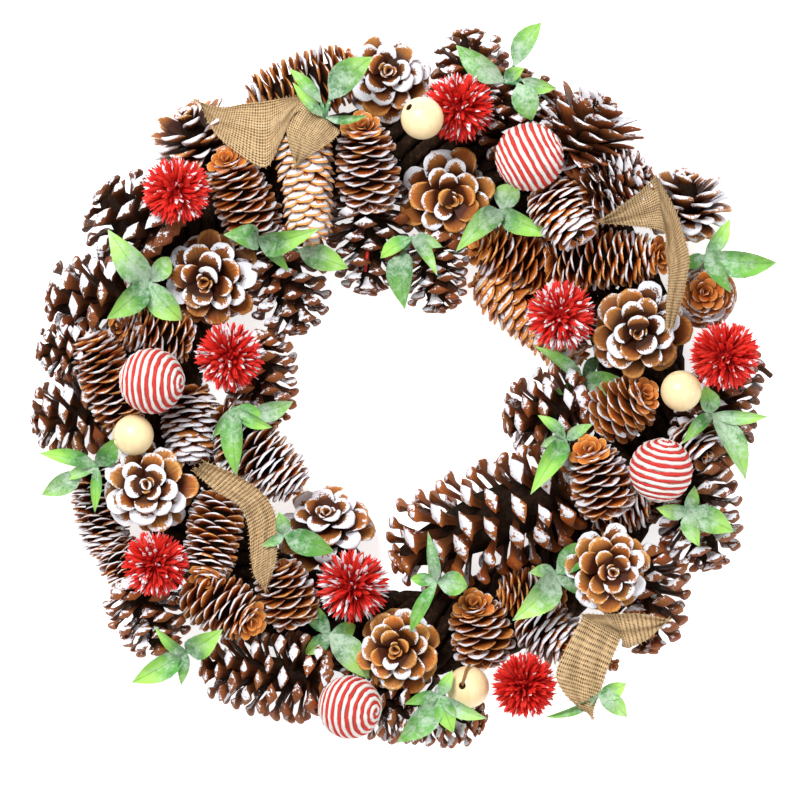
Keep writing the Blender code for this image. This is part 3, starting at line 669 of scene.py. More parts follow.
def edge_of(nodes, place, start):
    """0 in the middle of a shape and 1 at the edge of its end, which is half an ellipse from a start."""
    along, across, _ = nodes.parts(place)
    onward = nodes.math("DIVIDE", nodes.minus(along, start), 1 - start)
    onward = nodes.math("MAXIMUM", onward, 0.0)
    side = nodes.times(across, 1.85)
    squared = nodes.times_plus(onward, onward, nodes.times(side, side))
    return nodes.times(nodes.math("SQRT", squared), nodes.spread(along, start - 0.35, start + 0.1))


WHITE_PAINT = (0.86, 0.86, 0.9, 1)


def scale_material(name, dark, pale, stops, rounded_from, patch, rough, side):
    """A woody cone scale, near black at its root as painted shade deep under the scales above, with fibres
    along it, a bright rim and frost at its end.
    """
    nodes = new_material(name, 0.62, 0.2)
    place = nodes.place()
    along = nodes.parts(place)[0]
    if rounded_from:
        edge = edge_of(nodes, place, rounded_from)
    else:
        edge = nodes.times_plus(along, 0.9, -0.2)
    tone, frost, chance, rim = nodes.look()
    # The ramps darken each scale towards its root: painted shade where it lies deep under the scales above.
    dark_wood = nodes.ramp(along, list(zip(stops, dark)))
    pale_wood = nodes.ramp(along, list(zip(stops, pale)))
    wood = nodes.mix(tone, dark_wood, pale_wood)
    rim_wood = nodes.mix(tone, (*dark[3], 1), (*pale[3], 1))
    wood = nodes.mix(nodes.spread(edge, 0.84, 0.95), wood, rim_wood)
    shifted = nodes.add("VectorMath", {0: place, 1: nodes.object_place()}, operation="ADD").outputs[0]
    fibres = nodes.noise(nodes.stretched(shifted, (2, 26, 8)), 1.0, 3)
    wood = nodes.mix(nodes.spread(fibres, 0.38, 0.8, 0.0, 0.5), wood, (0.012, 0.004, 0.002, 1))
    blotches = nodes.noise(nodes.object_place(), 150, 3)
    wood = nodes.mix(nodes.spread(blotches, 0.5, 0.75, 0.0, 0.55), wood, (0.5, 0.17, 0.03, 1), "SOFT_LIGHT")
    wood = nodes.mix(nodes.times(chance, 0.4), wood, (0.62, 0.22, 0.05, 1), "SOFT_LIGHT")
    mask, grain = frosted(nodes, Edge=edge, Amount=frost, Rim=rim, Patch=patch, Rough=rough, Side=side)
    paint = nodes.mix(nodes.spread(grain, 0.3, 0.7), (0.72, 0.74, 0.82, 1), WHITE_PAINT)
    nodes.feed(nodes.shader.inputs["Roughness"], nodes.times_plus(mask, 0.3, 0.58))
    height = nodes.times_plus(mask, 0.7, nodes.times(fibres, 0.5))
    return nodes.finished(nodes.mix(mask, wood, paint), height, 0.5, 0.6 * MM)


def bristle_material():
    """Red dyed bristles, darkened towards their roots as painted shade in the gaps, with a few frosted ends.
    """
    nodes = new_material("red_bristle", 0.5, 0.25)
    place = nodes.place()
    along = nodes.parts(place)[0]
    tone, frost, chance, _ = nodes.look()
    # Dark towards the root: painted shade deep in the gaps between the bristles.
    stops = [(0.0, (0.1, 0.0, 0.001)), (0.4, (0.56, 0.003, 0.003)), (1.0, (0.95, 0.03, 0.02))]
    red = nodes.ramp(along, stops)
    red = nodes.mix(nodes.times(chance, 0.6), red, (0.95, 0.075, 0.05, 1))
    streaks = nodes.noise(nodes.stretched(place, (3, 30, 30)), 1.0, 2)
    red = nodes.mix(nodes.spread(streaks, 0.35, 0.8, 0.0, 0.5), red, (0.2, 0.0, 0.002, 1))
    mask, _ = frosted(nodes, Edge=along, Amount=frost, Patch=420.0, Rough=1.2)
    height = nodes.math("ADD", streaks, mask)
    return nodes.finished(nodes.mix(mask, red, WHITE_PAINT), height, 0.4, 0.3 * MM)


def bead_material():
    """Pale varnished wood with a faint grain."""
    nodes = new_material("pale_wood", 0.38, 0.5)
    nodes.shader.inputs["Coat Weight"].default_value = 0.25
    nodes.shader.inputs["Coat Roughness"].default_value = 0.2
    place = nodes.object_place()
    grain = nodes.noise(nodes.stretched(place, (500, 130, 130)), 1.0, 3)
    spots = nodes.noise(place, 240, 2)
    wood = nodes.ramp(grain, [(0.2, (0.88, 0.66, 0.35)), (0.7, (0.95, 0.76, 0.44))])
    wood = nodes.mix(nodes.spread(spots, 0.62, 0.75, 0.0, 0.35), wood, (0.9, 0.84, 0.7, 1))
    return nodes.finished(wood, grain, 0.08, 0.3 * MM)


def leaf_material():
    """A soft dusty green leaf: lime towards its tip and along its thin edge, with pale powder."""
    nodes = new_material("leaf", 0.55, 0.35)
    nodes.shader.inputs["Sheen Weight"].default_value = 0.1
    place = nodes.place()
    along, across, _ = nodes.parts(place)
    tone, frost, chance, _ = nodes.look()
    side = nodes.math("ABSOLUTE", across)
    drift = nodes.noise(nodes.object_place(), 90, 2)
    green = nodes.mix(chance, (0.018, 0.14, 0.028, 1), (0.095, 0.38, 0.045, 1))
    deep = nodes.spread(nodes.noise(nodes.object_place(), 150, 3), 0.48, 0.64, 0.0, 0.6)
    green = nodes.mix(deep, green, (0.01, 0.115, 0.018, 1))
    towards_tip = nodes.times_plus(drift, 0.6, nodes.times(along, 0.9))
    lime = nodes.times(nodes.spread(towards_tip, 0.5, 1.1), tone)
    green = nodes.mix(lime, green, (0.46, 0.82, 0.14, 1))
    rim = nodes.spread(edge_of(nodes, place, 0.45), 0.86, 0.98)
    green = nodes.mix(nodes.times(rim, 0.6), green, (0.52, 0.78, 0.34, 1))
    ribs = nodes.spread(side, 0.0, 0.05, 1.0, 0.0)
    green = nodes.mix(nodes.times(ribs, 0.3), green, (0.03, 0.16, 0.03, 1))
    fine = nodes.noise(nodes.object_place(), 700, 5, 0.8)
    cloud = nodes.noise(nodes.object_place(), 230, 3, 0.6)
    powder = nodes.times_plus(cloud, 0.55, nodes.times(fine, 0.6))
    near_base = nodes.spread(nodes.times_plus(side, 0.4, along), 0.0, 1.0, 0.13, -0.06)
    level = nodes.times_plus(frost, 0.16, nodes.math("ADD", powder, near_base))
    facing = nodes.parts(nodes.normal())[2]
    mask = nodes.times(nodes.spread(level, 0.53, 0.86, 0.0, 0.8), nodes.spread(facing, -0.3, 0.2))
    height = nodes.times_plus(ribs, -1.2, powder)
    return nodes.finished(nodes.mix(mask, green, (0.52, 0.65, 0.51, 1)), height, 0.4, 0.5 * MM)


THREAD = 1.65 * MM


def burlap_material():
    """Open plain weave: gaps between the lengthwise yarns, finer ones between the others, painted dark as
    the shade seen through them.
    """
    nodes = new_material("burlap", 0.95, 0.1)
    uv = nodes.add("UVMap", uv_map="UVMap").outputs[0]
    wander = nodes.noise(uv, 220, 2)
    across, along, _ = nodes.parts(uv)
    bend = nodes.times(nodes.minus(wander, 0.5), 2.2)
    turns = math.tau / THREAD
    warp = nodes.math("SINE", nodes.times_plus(across, turns, bend))
    weft = nodes.math("SINE", nodes.times_plus(along, 1.3 * turns, bend))
    loose = nodes.noise(nodes.stretched(uv, (300, 300, 1)), 1.0, 3, 0.6)
    warp_gap = nodes.spread(warp, -0.7, 0.05, 1.0, 0.0)
    weft_gap = nodes.spread(weft, -0.75, 0.15, 1.0, 0.0)
    gap = nodes.times(warp_gap, nodes.times_plus(weft_gap, 0.75, 0.25))
    gap = nodes.math("MAXIMUM", gap, nodes.times(weft_gap, 0.3))
    gap = nodes.times(gap, nodes.spread(loose, 0.36, 0.6, 0.6, 1.3))
    fibre = nodes.noise(uv, 2300, 3, 0.7)
    stops = [(0.25, (0.4, 0.24, 0.105)), (0.5, (0.74, 0.51, 0.27)), (0.75, (0.95, 0.79, 0.54))]
    tan = nodes.ramp(fibre, stops)
    yarns = nodes.noise(nodes.stretched(uv, (700, 40, 1)), 1.0, 2)
    tan = nodes.mix(nodes.spread(yarns, 0.35, 0.6, 0.35, 0.0), tan, (0.42, 0.25, 0.1, 1))
    # The gaps are painted near black: painted shade of what lies under the cloth, seen through the weave.
    colour = nodes.mix(nodes.math("MINIMUM", gap, 1.0), tan, (0.035, 0.014, 0.005, 1))
    height = nodes.times_plus(fibre, 0.4, nodes.times(gap, -1.6))
    height = nodes.times_plus(warp, 0.5, height)
    return nodes.finished(colour, height, 0.7, 0.5 * MM)


# Each palette runs from a scale's root to its end, and its last colour is the rim's. The near black roots
# are painted shade, where the scales lie deep under those above.
SMALL_DARK = [(0.008, 0.003, 0.001), (0.05, 0.013, 0.003), (0.14, 0.034, 0.007), (0.4, 0.14, 0.035)]
SMALL_PALE = [(0.09, 0.022, 0.005), (0.42, 0.12, 0.022), (0.78, 0.3, 0.06), (0.9, 0.48, 0.17)]
PINE_DARK = [(0.005, 0.002, 0.001), (0.04, 0.017, 0.009), (0.11, 0.045, 0.022), (0.17, 0.075, 0.038)]
PINE_PALE = [(0.012, 0.004, 0.002), (0.15, 0.05, 0.015), (0.46, 0.15, 0.035), (0.58, 0.23, 0.06)]
ROSE_DARK = [(0.004, 0.001, 0.001), (0.03, 0.008, 0.002), (0.26, 0.085, 0.018), (0.4, 0.16, 0.04)]
ROSE_PALE = [(0.006, 0.002, 0.001), (0.09, 0.024, 0.005), (0.66, 0.28, 0.06), (0.78, 0.42, 0.13)]
SMALL_END = 0.55
PETAL_END = 0.6

small_wood = scale_material(
    "small_cone_scale", SMALL_DARK, SMALL_PALE, (0.0, 0.5, 0.85), SMALL_END, 260.0, 1.8, 0.3
)
pine_wood = scale_material("pine_cone_scale", PINE_DARK, PINE_PALE, (0.0, 0.66, 0.9), None, 280.0, 2.4, 0.85)
rose_wood = scale_material(
    "rosette_scale", ROSE_DARK, ROSE_PALE, (0.0, 0.66, 0.95), PETAL_END, 190.0, 1.25, 0.25
)
# Near black: the cone's core is painted as shade, where it shows deep between the scales.
core_wood_painted_shade = grained(
    "cone_core", 0.9, 0.1, (500, 3), [(0.3, (0.006, 0.003, 0.002)), (0.8, (0.03, 0.014, 0.007))]
)
red_core = grained(
    "pompom_core", 0.8, 0.1, (700, 3), [(0.3, (0.1, 0.0, 0.002)), (0.8, (0.4, 0.008, 0.006))]
)
stalk_green = grained(
    "stalk", 0.6, 0.3, (420, 3),
    [(0.35, (0.06, 0.2, 0.07)), (0.55, (0.16, 0.36, 0.18)), (0.7, (0.62, 0.72, 0.62))],
    0.3, 0.3 * MM,
)
# Near black: the bark is darkened as painted shade, for the depths between the cones where the vines show.
vine_bark_painted_shade = grained(
    "vine_bark_painted_shade", 0.9, 0.15, (420, 5, 0.65),
    [(0.3, (0.008, 0.004, 0.002)), (0.55, (0.03, 0.014, 0.007)), (0.75, (0.09, 0.045, 0.02))],
    0.8, 1.2 * MM,
)
red_bristle = bristle_material()
bead_wood = bead_material()
leaf_green = leaf_material()
burlap_weave = burlap_material()


def twine(name, deep, light):
    """Paper twine with fine twisted fibres."""
    return grained(name, 0.85, 0.15, (1900, 3, 0.7), [(0.25, deep), (0.7, light)], 0.7, 0.4 * MM)


def strand(name, dark, light):
    """Bark, cord or thread with a fine grain."""
    return grained(name, 0.9, 0.12, (1500, 2), [(0.3, dark), (0.7, light)], 0.3, 0.2 * MM)


red_twine = twine("red_twine", (0.42, 0.02, 0.02), (0.78, 0.07, 0.055))
white_twine = twine("white_twine", (0.68, 0.62, 0.56), (0.93, 0.91, 0.88))
loose_thread = strand("jute_thread", (0.32, 0.18, 0.07), (0.66, 0.46, 0.25))
brown_cord = strand("brown_cord", (0.16, 0.07, 0.025), (0.4, 0.2, 0.08))
twig_bark = strand("twig_bark", (0.03, 0.012, 0.007), (0.12, 0.05, 0.03))
red_stem = strand("red_stem", (0.3, 0.008, 0.008), (0.72, 0.06, 0.05))


# The shapes that repeat, each one unit long and wide.


def rounded_end(start, thickness, curl, blunt=2.0):
    """Sections of a half ellipse from a start to 1, blunter than one above 2, curling outwards."""
    for step in (0.0, 0.4, 0.7, 0.9, 1.0):
        width = max(0.16, (1 - step**blunt) ** (1 / blunt))
        yield start + (1 - start) * step, width, thickness * (1 if step < 1 else 0.6), curl * step**2


SMALL_SCALE = drawn_out(
    "small_scale", 8,
    [(0.0, 0.34, 0.1, 0.0), (0.3, 0.74, 0.09, 0.0), *rounded_end(SMALL_END, 0.08, -0.05, 2.4)],
    -0.13, small_wood,
)
PINE_SCALE = drawn_out(
    "pine_scale", 8,
    [
        (0.0, 0.5, 0.26, 0.0), (0.5, 0.5, 0.2, -0.02), (0.76, 0.74, 0.25, -0.02), (0.88, 1.06, 0.5, 0.0),
        (0.94, 0.86, 0.46, 0.05), (0.98, 0.46, 0.28, 0.1), (1.0, 0.14, 0.1, 0.13),
    ],
    -0.05, pine_wood, 40, 0.78,
)
SPOON_SCALE = drawn_out(
    "spoon_scale", 8,
    [(0.0, 0.36, 0.12, 0.0), (0.3, 0.6, 0.1, -0.03), *rounded_end(0.6, 0.1, 0.1, 2.4)],
    -0.14, pine_wood,
)
PETAL = drawn_out(
    "petal", 10,
    [(0.0, 0.36, 0.14, 0.0), (0.34, 0.62, 0.12, -0.04), *rounded_end(PETAL_END, 0.19, 0.14, 3.4)],
    -0.13, rose_wood,
)
BRISTLE = drawn_out(
    "bristle", 4,
    [(0.0, 0.5, 0.3, 0.0), (0.5, 1.0, 0.34, 0.03), (0.8, 0.86, 0.3, 0.0), (1.0, 0.16, 0.12, -0.05)],
    0.0, red_bristle, 30,
)
LEAF = drawn_out(
    "leaf_blade", 8,
    [
        (0.0, 0.12, 0.07, 0.0), (0.06, 0.26, 0.06, 0.01), (0.14, 0.56, 0.045, 0.05),
        (0.26, 0.86, 0.04, 0.1), (0.42, 1.0, 0.04, 0.13), (0.58, 0.96, 0.035, 0.13),
        (0.73, 0.76, 0.035, 0.09), (0.86, 0.44, 0.03, 0.04), (0.94, 0.2, 0.03, -0.01),
        (1.0, 0.03, 0.02, -0.05),
    ],
    0.15, leaf_green,
)


def round_shape(name, segments, rings, material, above, change):
    """A ball one unit wide standing on its origin, whose points above a height are changed."""
    deselect()
    bpy.ops.mesh.primitive_uv_sphere_add(
        segments=segments, ring_count=rings, radius=0.5, location=(0, 0, 0.5)
    )
    thing = bpy.context.object
    thing.name = name
    bpy.ops.object.transform_apply(location=True)
    bpy.ops.object.mode_set(mode="EDIT")
    select_points(thing, lambda p: p.z > above)
    change()
    bpy.ops.object.mode_set(mode="OBJECT")
    bpy.ops.object.shade_smooth()
    return kept_shape(thing, material)


def narrowed():
    bpy.ops.transform.resize(value=(0.85, 0.85, 1), center_override=(0, 0, 0.5))


def flattened():
    bpy.ops.transform.translate(value=(0, 0, -0.01))


# The spindles that a cone's scales and a pompom's bristles grow from, and the filling of a twine ball.
CORE = round_shape("core", 10, 8, core_wood_painted_shade, 0.6, narrowed)
RED_CORE = round_shape("core", 10, 8, red_core, 0.6, narrowed)
BALL = round_shape("filling", 24, 14, white_twine, 0.93, flattened)


# Cones.


def closing(t, start):
    """1 up to a share of the length, and from there round to 0 at the apex."""
    if t < start:
        return 1.0
    return math.sqrt(max(0.0, 1 - ((t - start) / (1 - start)) ** 2))


def opened_habit(u):
    """Where a scale ends, its opening angle, length and width, by its share of all the scales."""
    t = 0.04 + 0.9 * u
    outline = min(1.0, 0.74 + 1.2 * t) * (1 - 0.3 * max(0.0, t - 0.4))
    return outline * closing(t, 0.72), t, 101 - 28 * t**2, 0.64, 0.78


def closed_habit(u):
    t = 0.06 + 0.94 * u
    outline = min(1.0, 0.7 + 1.6 * t) * (1 - 0.34 * max(0.0, t - 0.3))
    size = 0.5 + 0.5 * closing(u, 0.75)
    return outline * closing(t, 0.84), t, 60 - 22 * t, 0.8 * size, 0.7 * size


def broad_habit(u):
    share, t, _, _, _ = opened_habit(u)
    return share, t, 92 - 44 * t, 0.66, 0.86


def pine_habit(u):
    t = 0.05 + 0.93 * u
    outline = (1 - 0.5 * max(0.0, t - 0.35)) * min(1.0, 0.7 + 2.0 * t)
    size = 0.6 + 0.4 * closing(u, 0.75)
    return outline * closing(t, 0.8), t, 94 - 56 * t, 0.92 * size, 0.48 * size


def blunt_habit(u):
    """A pine cone's scales on a body that keeps its width nearly to its apex."""
    _, t, opening, reach, width = pine_habit(u)
    outline = (1 - 0.25 * max(0.0, t - 0.5)) * min(1.0, 0.7 + 2.0 * t)
    return outline * closing(t, 0.82), t, opening, reach, width


def spoon_habit(u):
    share, t, _, _, _ = blunt_habit(u)
    size = 0.7 + 0.3 * closing(u, 0.7)
    return share, t, 100 - 62 * t, 1.0 * size, 0.5 * size


def rosette_habit(u):
    if u < SKIRT:
        t = u / SKIRT
        return 0.84 + 0.14 * t, 0.02 + 0.16 * t, 84, 0.8, 0.52
    share = 0.2 + 0.8 * ((1 - u) / (1 - SKIRT)) ** 0.55
    height = 0.25 + 0.75 * (1 - share**2) ** 0.6
    opening = 30 + 46 * share
    reach = (share - 0.04) / math.sin(math.radians(opening))
    return share, height, opening, reach, 0.29 + 0.25 * share


# The habit, the scale's shape, how many scales for each radius of length, the core's share of the
# radius, whether the apex shows a crown, and whether the frost lies on the rim or behind it.
KINDS = {
    "small": (opened_habit, SMALL_SCALE, 28, 0.5, True, 1.0),
    "bare": (opened_habit, SMALL_SCALE, 28, 0.5, False, 1.0),
    "closed": (closed_habit, SMALL_SCALE, 29, 0.5, False, 0.0),
    "broad": (broad_habit, SMALL_SCALE, 25, 0.45, False, 1.0),
    "pine": (pine_habit, PINE_SCALE, 23, 0.38, False, 1.0),
    "spoon": (spoon_habit, SPOON_SCALE, 36, 0.26, False, 1.0),
    "long": (blunt_habit, PINE_SCALE, 21, 0.5, False, 1.0),
    "bun": (spoon_habit, PETAL, 30, 0.3, False, 1.0),
    "rosette": (rosette_habit, PETAL, 0, 0.24, False, 1.0),
}
PETALS = 28
SKIRT = 0.28  # the share of a rosette's scales that are behind its widest ones
HEART_SCALES = 6
ROSETTE_UNEVEN = 1.7  # how much more a rosette's scales wander than those of other cones
CROWN_SCALES = 15
WHITE_SHAFTS = 0.07  # the share of scales that are painted right down


def turned_to(direction):
    return Vector(direction).to_track_quat("Z", "Y").to_matrix().to_4x4()


def settled_height(solid, base, apex, rise, radius):
    """How high a cone's base lies, read where its apex or its base shows on its CAD node."""
    tip = solid.over(at(apex))
    if tip:
        return tip.z - rise
    for hollow in (0.04, 0.0):
        foot = solid.over(at(base).lerp(at(apex), hollow))
        if foot:
            return foot.z - rise * hollow
    middle = solid.top(at(base).lerp(at(apex), 0.5))
    return middle - 0.9 * radius - rise / 2


def scale_on(turn, lean, tip, reach, width):
    """A scale's matrix: it ends at a tip beside the axis, and leans out from the axis."""
    out = Vector((math.cos(turn), math.sin(turn), 0))
    along = Vector((0, 0, math.cos(lean))) + out * math.sin(lean)
    outer = out * math.cos(lean) - Vector((0, 0, math.sin(lean)))
    root = out * tip[0] + Vector((0, 0, tip[1])) - along * reach
    columns = [along * reach, outer.cross(along) * width, outer * width]
    return from_columns(columns, root)


def within(value):
    return min(1.0, max(0.0, value))


def crown(apex, axis, radius, tone, rng):
    """The curled bare scales round a cone's apex, turned up towards whoever looks at the wreath."""
    towards = (axis.normalized() * 0.75 + Vector((0, 0, 0.66))).normalized()
    place = Matrix.Translation(apex - axis.normalized() * 0.42 * radius) @ turned_to(towards)
    things = []
    for number in range(CROWN_SCALES):
        share = (1 - (number + 0.5) / CROWN_SCALES) ** 0.6
        lean = math.radians(12 + 66 * share + rng.uniform(-12, 12))
        tip = (0.68 * radius * share, radius * (0.3 + 0.3 * math.sqrt(1 - share**2)))
        size = radius * rng.uniform(0.9, 1.1)
        reach, width = (0.28 + 0.24 * share) * size, (0.22 + 0.24 * share) * size
        local = scale_on(number * GOLDEN_ANGLE, lean, tip, reach, width)
        look = (within(tone + 0.2 + rng.uniform(-0.15, 0.15)), rng.uniform(0.0, 0.12), rng.random(), 1.0)
        things.append(copy_at(SMALL_SCALE, place @ local, look))
    return things


def end_scales(shape, place, radius, length, look, rng):
    """The scales that close a cone over its apex and behind its base."""
    tone, frost, _, rim = look
    things = []
    # Share of the radius, height, opening, length and width, as a habit gives them.
    ends = [(0.1 + 0.03 * number, 1.0 - 0.01 * number, 8 + 5 * number, 0.5, 0.4) for number in range(6)]
    ends += [(0.62, -0.01, 118, 0.7, 0.6)] * 9 + [(0.3, -0.02, 150, 0.5, 0.5)] * 4
    for number, (share, height, opening, reach, width) in enumerate(ends):
        lean = math.radians(opening + rng.uniform(-7, 7))
        tip = (radius * share * rng.uniform(0.85, 1.1), height * length)
        local = scale_on(number * GOLDEN_ANGLE, lean, tip, reach * radius, width * radius)
        look = (tone, within(frost + rng.uniform(-0.3, 0.1)), rng.random(), rim)
        things.append(copy_at(shape, place @ local, look))
    return things


def cone(solid, spec, rng):
    """The scales of one cone round its core, each turned by the golden angle from the last."""
    kind, base, apex, rise, diameter, tone, frost = spec
    habit, shape, crowd, core_share, crowned, rim = KINDS[kind]
    radius = diameter / 2 * MM
    height = settled_height(solid, base, apex, rise * MM, radius)
    start, end = at(base, height), at(apex, height + rise * MM)
    axis = end - start
    length = axis.length
    place = Matrix.Translation(start) @ turned_to(axis)
    flower = kind == "rosette"
    count = PETALS if flower else round(crowd * length / radius)
    uneven = ROSETTE_UNEVEN if flower else 1.0
    core = 2 * core_share * radius
    inside = (0.7 if flower else 0.96) * length
    things = [copy_at(CORE, place @ Matrix.Diagonal((core, core, inside, 1)))]
    for number in range(count):
        share, t, opening, reach, width = habit((number + 0.5) / count)
        turn = number * GOLDEN_ANGLE + uneven * rng.uniform(-0.12, 0.12)
        lean = math.radians(opening + uneven * rng.uniform(-8, 8))
        tip = (radius * share * rng.uniform(0.9, 1.0), t * length)
        reach *= radius * rng.uniform(0.94, 1.04)
        width *= radius * rng.uniform(0.84, 1.14)
        painted = 1.0 if rng.random() < WHITE_SHAFTS else frost + rng.uniform(-0.3, 0.3)
        if flower and share > 0.88:
            painted -= rng.choice((0.0, 0.3))
        look = (within(tone + rng.uniform(-0.16, 0.16)), within(painted), rng.random(), rim)
        things.append(copy_at(shape, place @ scale_on(turn, lean, tip, reach, width), look))
    if flower:
        for number in range(HEART_SCALES):
            share = 0.05 + 0.16 * number / HEART_SCALES
            tip = (radius * share, length * (0.9 - 0.4 * share))
            lean = math.radians(10 + 120 * share)
            local = scale_on(number * GOLDEN_ANGLE, lean, tip, 0.3 * radius, 0.2 * radius)
            look = (within(tone - 0.1), within(frost - rng.uniform(0.0, 0.4)), rng.random(), rim)
            things.append(copy_at(PETAL, place @ local, look))
    else:
        things += end_scales(shape, place, radius, length, (tone, frost, 0, rim), rng)
    if crowned:
        things += crown(end, axis, radius, tone, rng)
    return things


def cones():
    for node, specs in CONES.items():
        solid = Solid(node)
        rng = random.Random(node)
        things = []
        for spec in specs:
            things += cone(solid, spec, rng)
        things += small_things(node)
        piece = joined(node + "_scales", things)
        dressed(piece, node)


# Pompoms, twine balls and beads.


def even_directions(count, rng, wander):
    """Directions spread evenly over a ball, each a little off its place."""
    for number in range(count):
        z = 1 - 2 * (number + 0.5) / count
        flat = math.sqrt(1 - z * z)
        turn = number * GOLDEN_ANGLE
        away = Vector([rng.uniform(-wander, wander) for _ in range(3)])
        yield (Vector((flat * math.cos(turn), flat * math.sin(turn), z)) + away).normalized()


def frame_on(direction, spin):
    """X along a direction, turned about it by a spin."""
    turn = Vector(direction).to_track_quat("X", "Z").to_matrix().to_4x4()
    return turn @ Matrix.Rotation(spin, 4, "X")


BRISTLES = 500
BRISTLE_WIDTH = 2.1 * MM


def pompoms():
    for node, flecks in POMPOMS.items():
        rng = random.Random(node)
        low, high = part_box(node)
        middle = (low + high) / 2
        radius = (high.z - low.z) / 2 * 0.98
        core = Matrix.Translation(middle - 0.55 * radius * UP)
        things = [copy_at(RED_CORE, core @ Matrix.Diagonal((1.1 * radius,) * 3 + (1,)))]
        for out in even_directions(BRISTLES, rng, 0.13):
            reach = 0.68 * radius * rng.uniform(0.86, 1.0)
            start = middle + out * (radius * rng.uniform(0.88, 1.02) - reach)
            lean = (out + Vector([rng.uniform(-0.3, 0.3) for _ in range(3)])).normalized()
            size = Matrix.Diagonal((reach, BRISTLE_WIDTH, BRISTLE_WIDTH, 1))
            spin = rng.uniform(0, math.tau)
            look = (0.5, flecks + 0.2 if rng.random() < 0.5 * flecks else 0.0, rng.random(), 0)
            things.append(copy_at(BRISTLE, Matrix.Translation(start) @ frame_on(lean, spin) @ size, look))
        dressed(joined(node + "_bristles", things), node)


WHITE_TWINE = 2.15 * MM
RED_TWINE = 1.85 * MM
POINTS_A_TURN = 30
UNDER_CORDS = 1.6 * MM


def wound_cord(name, middle, radius, pole, phase, thick, material):
    """A cord wound round a ball from pole to pole, every second turn."""
    turns = math.pi * radius / (WHITE_TWINE + RED_TWINE)
    count = int(turns * POINTS_A_TURN)
    place = Matrix.Translation(middle) @ turned_to(pole)
    points, radii = [], []
    for number in range(count + 1):
        share = number / count
        down = 0.05 + (math.pi - 0.1) * share
        turn = share * turns * math.tau + phase
        flat = Vector((math.sin(down) * math.cos(turn), math.sin(down) * math.sin(turn), math.cos(down)))
        wave = 0.5 * MM * noise.noise(flat * 9 + Vector((phase, 0, 0)))
        side = flat.cross(UP).cross(flat)
        points.append(place @ (flat * (radius - 1.0 * MM) + side * wave))
        radii.append(thick / 2 * (1.0 + 0.5 * noise.noise(flat * 30 + Vector((0, phase, 0)))))
    return tube(name, points, radii, material)


def twine_balls():
    for node, pole in TWINE_BALLS.items():
        middle = middle_of(node)
        radius = radius_of(node) * 0.985
        inner = radius - UNDER_CORDS
        size = Matrix.Diagonal((2 * inner,) * 3 + (1,))
        ball = copy_at(BALL, Matrix.Translation(middle - inner * UP) @ size)
        red = wound_cord("red", middle, radius, pole, 0, RED_TWINE, red_twine)
        white = wound_cord("white", middle, radius, pole, math.pi, WHITE_TWINE, white_twine)
        dressed(joined(node + "_cords", [white, red, ball]), node)


BORE = 1.7 * MM
AT_RIM = 1e-6
ROUNDED = 0.35 * MM


def bead(node, pole):
    """A turned ball: its poles are cut away and the two rims are bridged by the wall of a bore.

    Where the ball has a ring of points close to the cut, as in bead_top and bead_bottom, the rims
    aren't found and the bore stays without a wall.
    """
    middle, radius = middle_of(node), radius_of(node)
    deselect()
    bpy.ops.mesh.primitive_uv_sphere_add(segments=48, ring_count=36, radius=radius)
    thing = bpy.context.object
    thing.name = node + "_turned"
    rim = math.sqrt(radius**2 - BORE**2)
    bpy.ops.object.mode_set(mode="EDIT")
    for side in (1, -1):
        bpy.ops.mesh.select_all(action="SELECT")
        bpy.ops.mesh.bisect(plane_co=(0, 0, side * rim), plane_no=(0, 0, side), clear_outer=True)
    select_points(thing, lambda p: abs(p.z) > rim - AT_RIM)
    bpy.ops.mesh.bridge_edge_loops()
    select_points(thing, lambda p: abs(p.z) > rim - AT_RIM)
    bpy.ops.mesh.bevel(offset=ROUNDED, segments=2, affect="EDGES")
    bpy.ops.mesh.select_all(action="SELECT")
    bpy.ops.mesh.normals_make_consistent(inside=False)
    bpy.ops.object.mode_set(mode="OBJECT")
    bpy.ops.object.shade_smooth_by_angle(angle=math.radians(50))
    thing.data.transform(Matrix.Translation(middle) @ turned_to(pole))
    thing.data.materials.append(bead_wood)
    if node == "bead_bottom":
        thing = joined(thing.name, [thing, cord_in_bead(middle, radius, pole)])
    if node in BEADS_ON_WIRES:
        thing = joined(thing.name, [thing, bead_wire(middle, radius)])
    return dressed(thing, node)


# Small things.

BEADS_ON_WIRES = ("bead_top", "bead_right")
END_SCALES = 11


def bead_wire(middle, radius):
    """The wire that holds a bead up from the vines, bent round what lies under it."""
    under = middle - 0.9 * radius * UP
    outwards = Vector((middle.x, middle.y, 0)).normalized()
    into = Vector((middle.x, middle.y, 18 * MM)) - outwards * 4 * MM
    points = [under, under.lerp(into, 0.4) + Vector((1, -1, 0)) * MM, into]
    return tube("wire", points, [0.9 * MM, 0.8 * MM, 0.8 * MM], brown_cord)


def cord_in_bead(middle, radius, pole):
    """The end of the cord that comes up out of a bead's bore and lies over its edge."""
    mouth = middle + Vector(pole).normalized() * radius
    past = Vector((2, 7.5, 0)) * MM
    points = [
        mouth - Vector(pole).normalized() * 3 * MM,
        mouth + Vector((0.1, 0.6, 0.6)) * MM,
        mouth + past * 0.5 + Vector((0, 0, -0.2)) * MM,
        mouth + past + Vector((0, 0, -2.2)) * MM,
        mouth + past * 1.35 + Vector((1, 0, -5)) * MM,
    ]
    return tube("cord", points, 0.75 * MM, brown_cord)


def path_of(*spots):
    """Points over pixels, each with its height in mm."""
    return [at((x, y), height * MM) for x, y, height in spots]


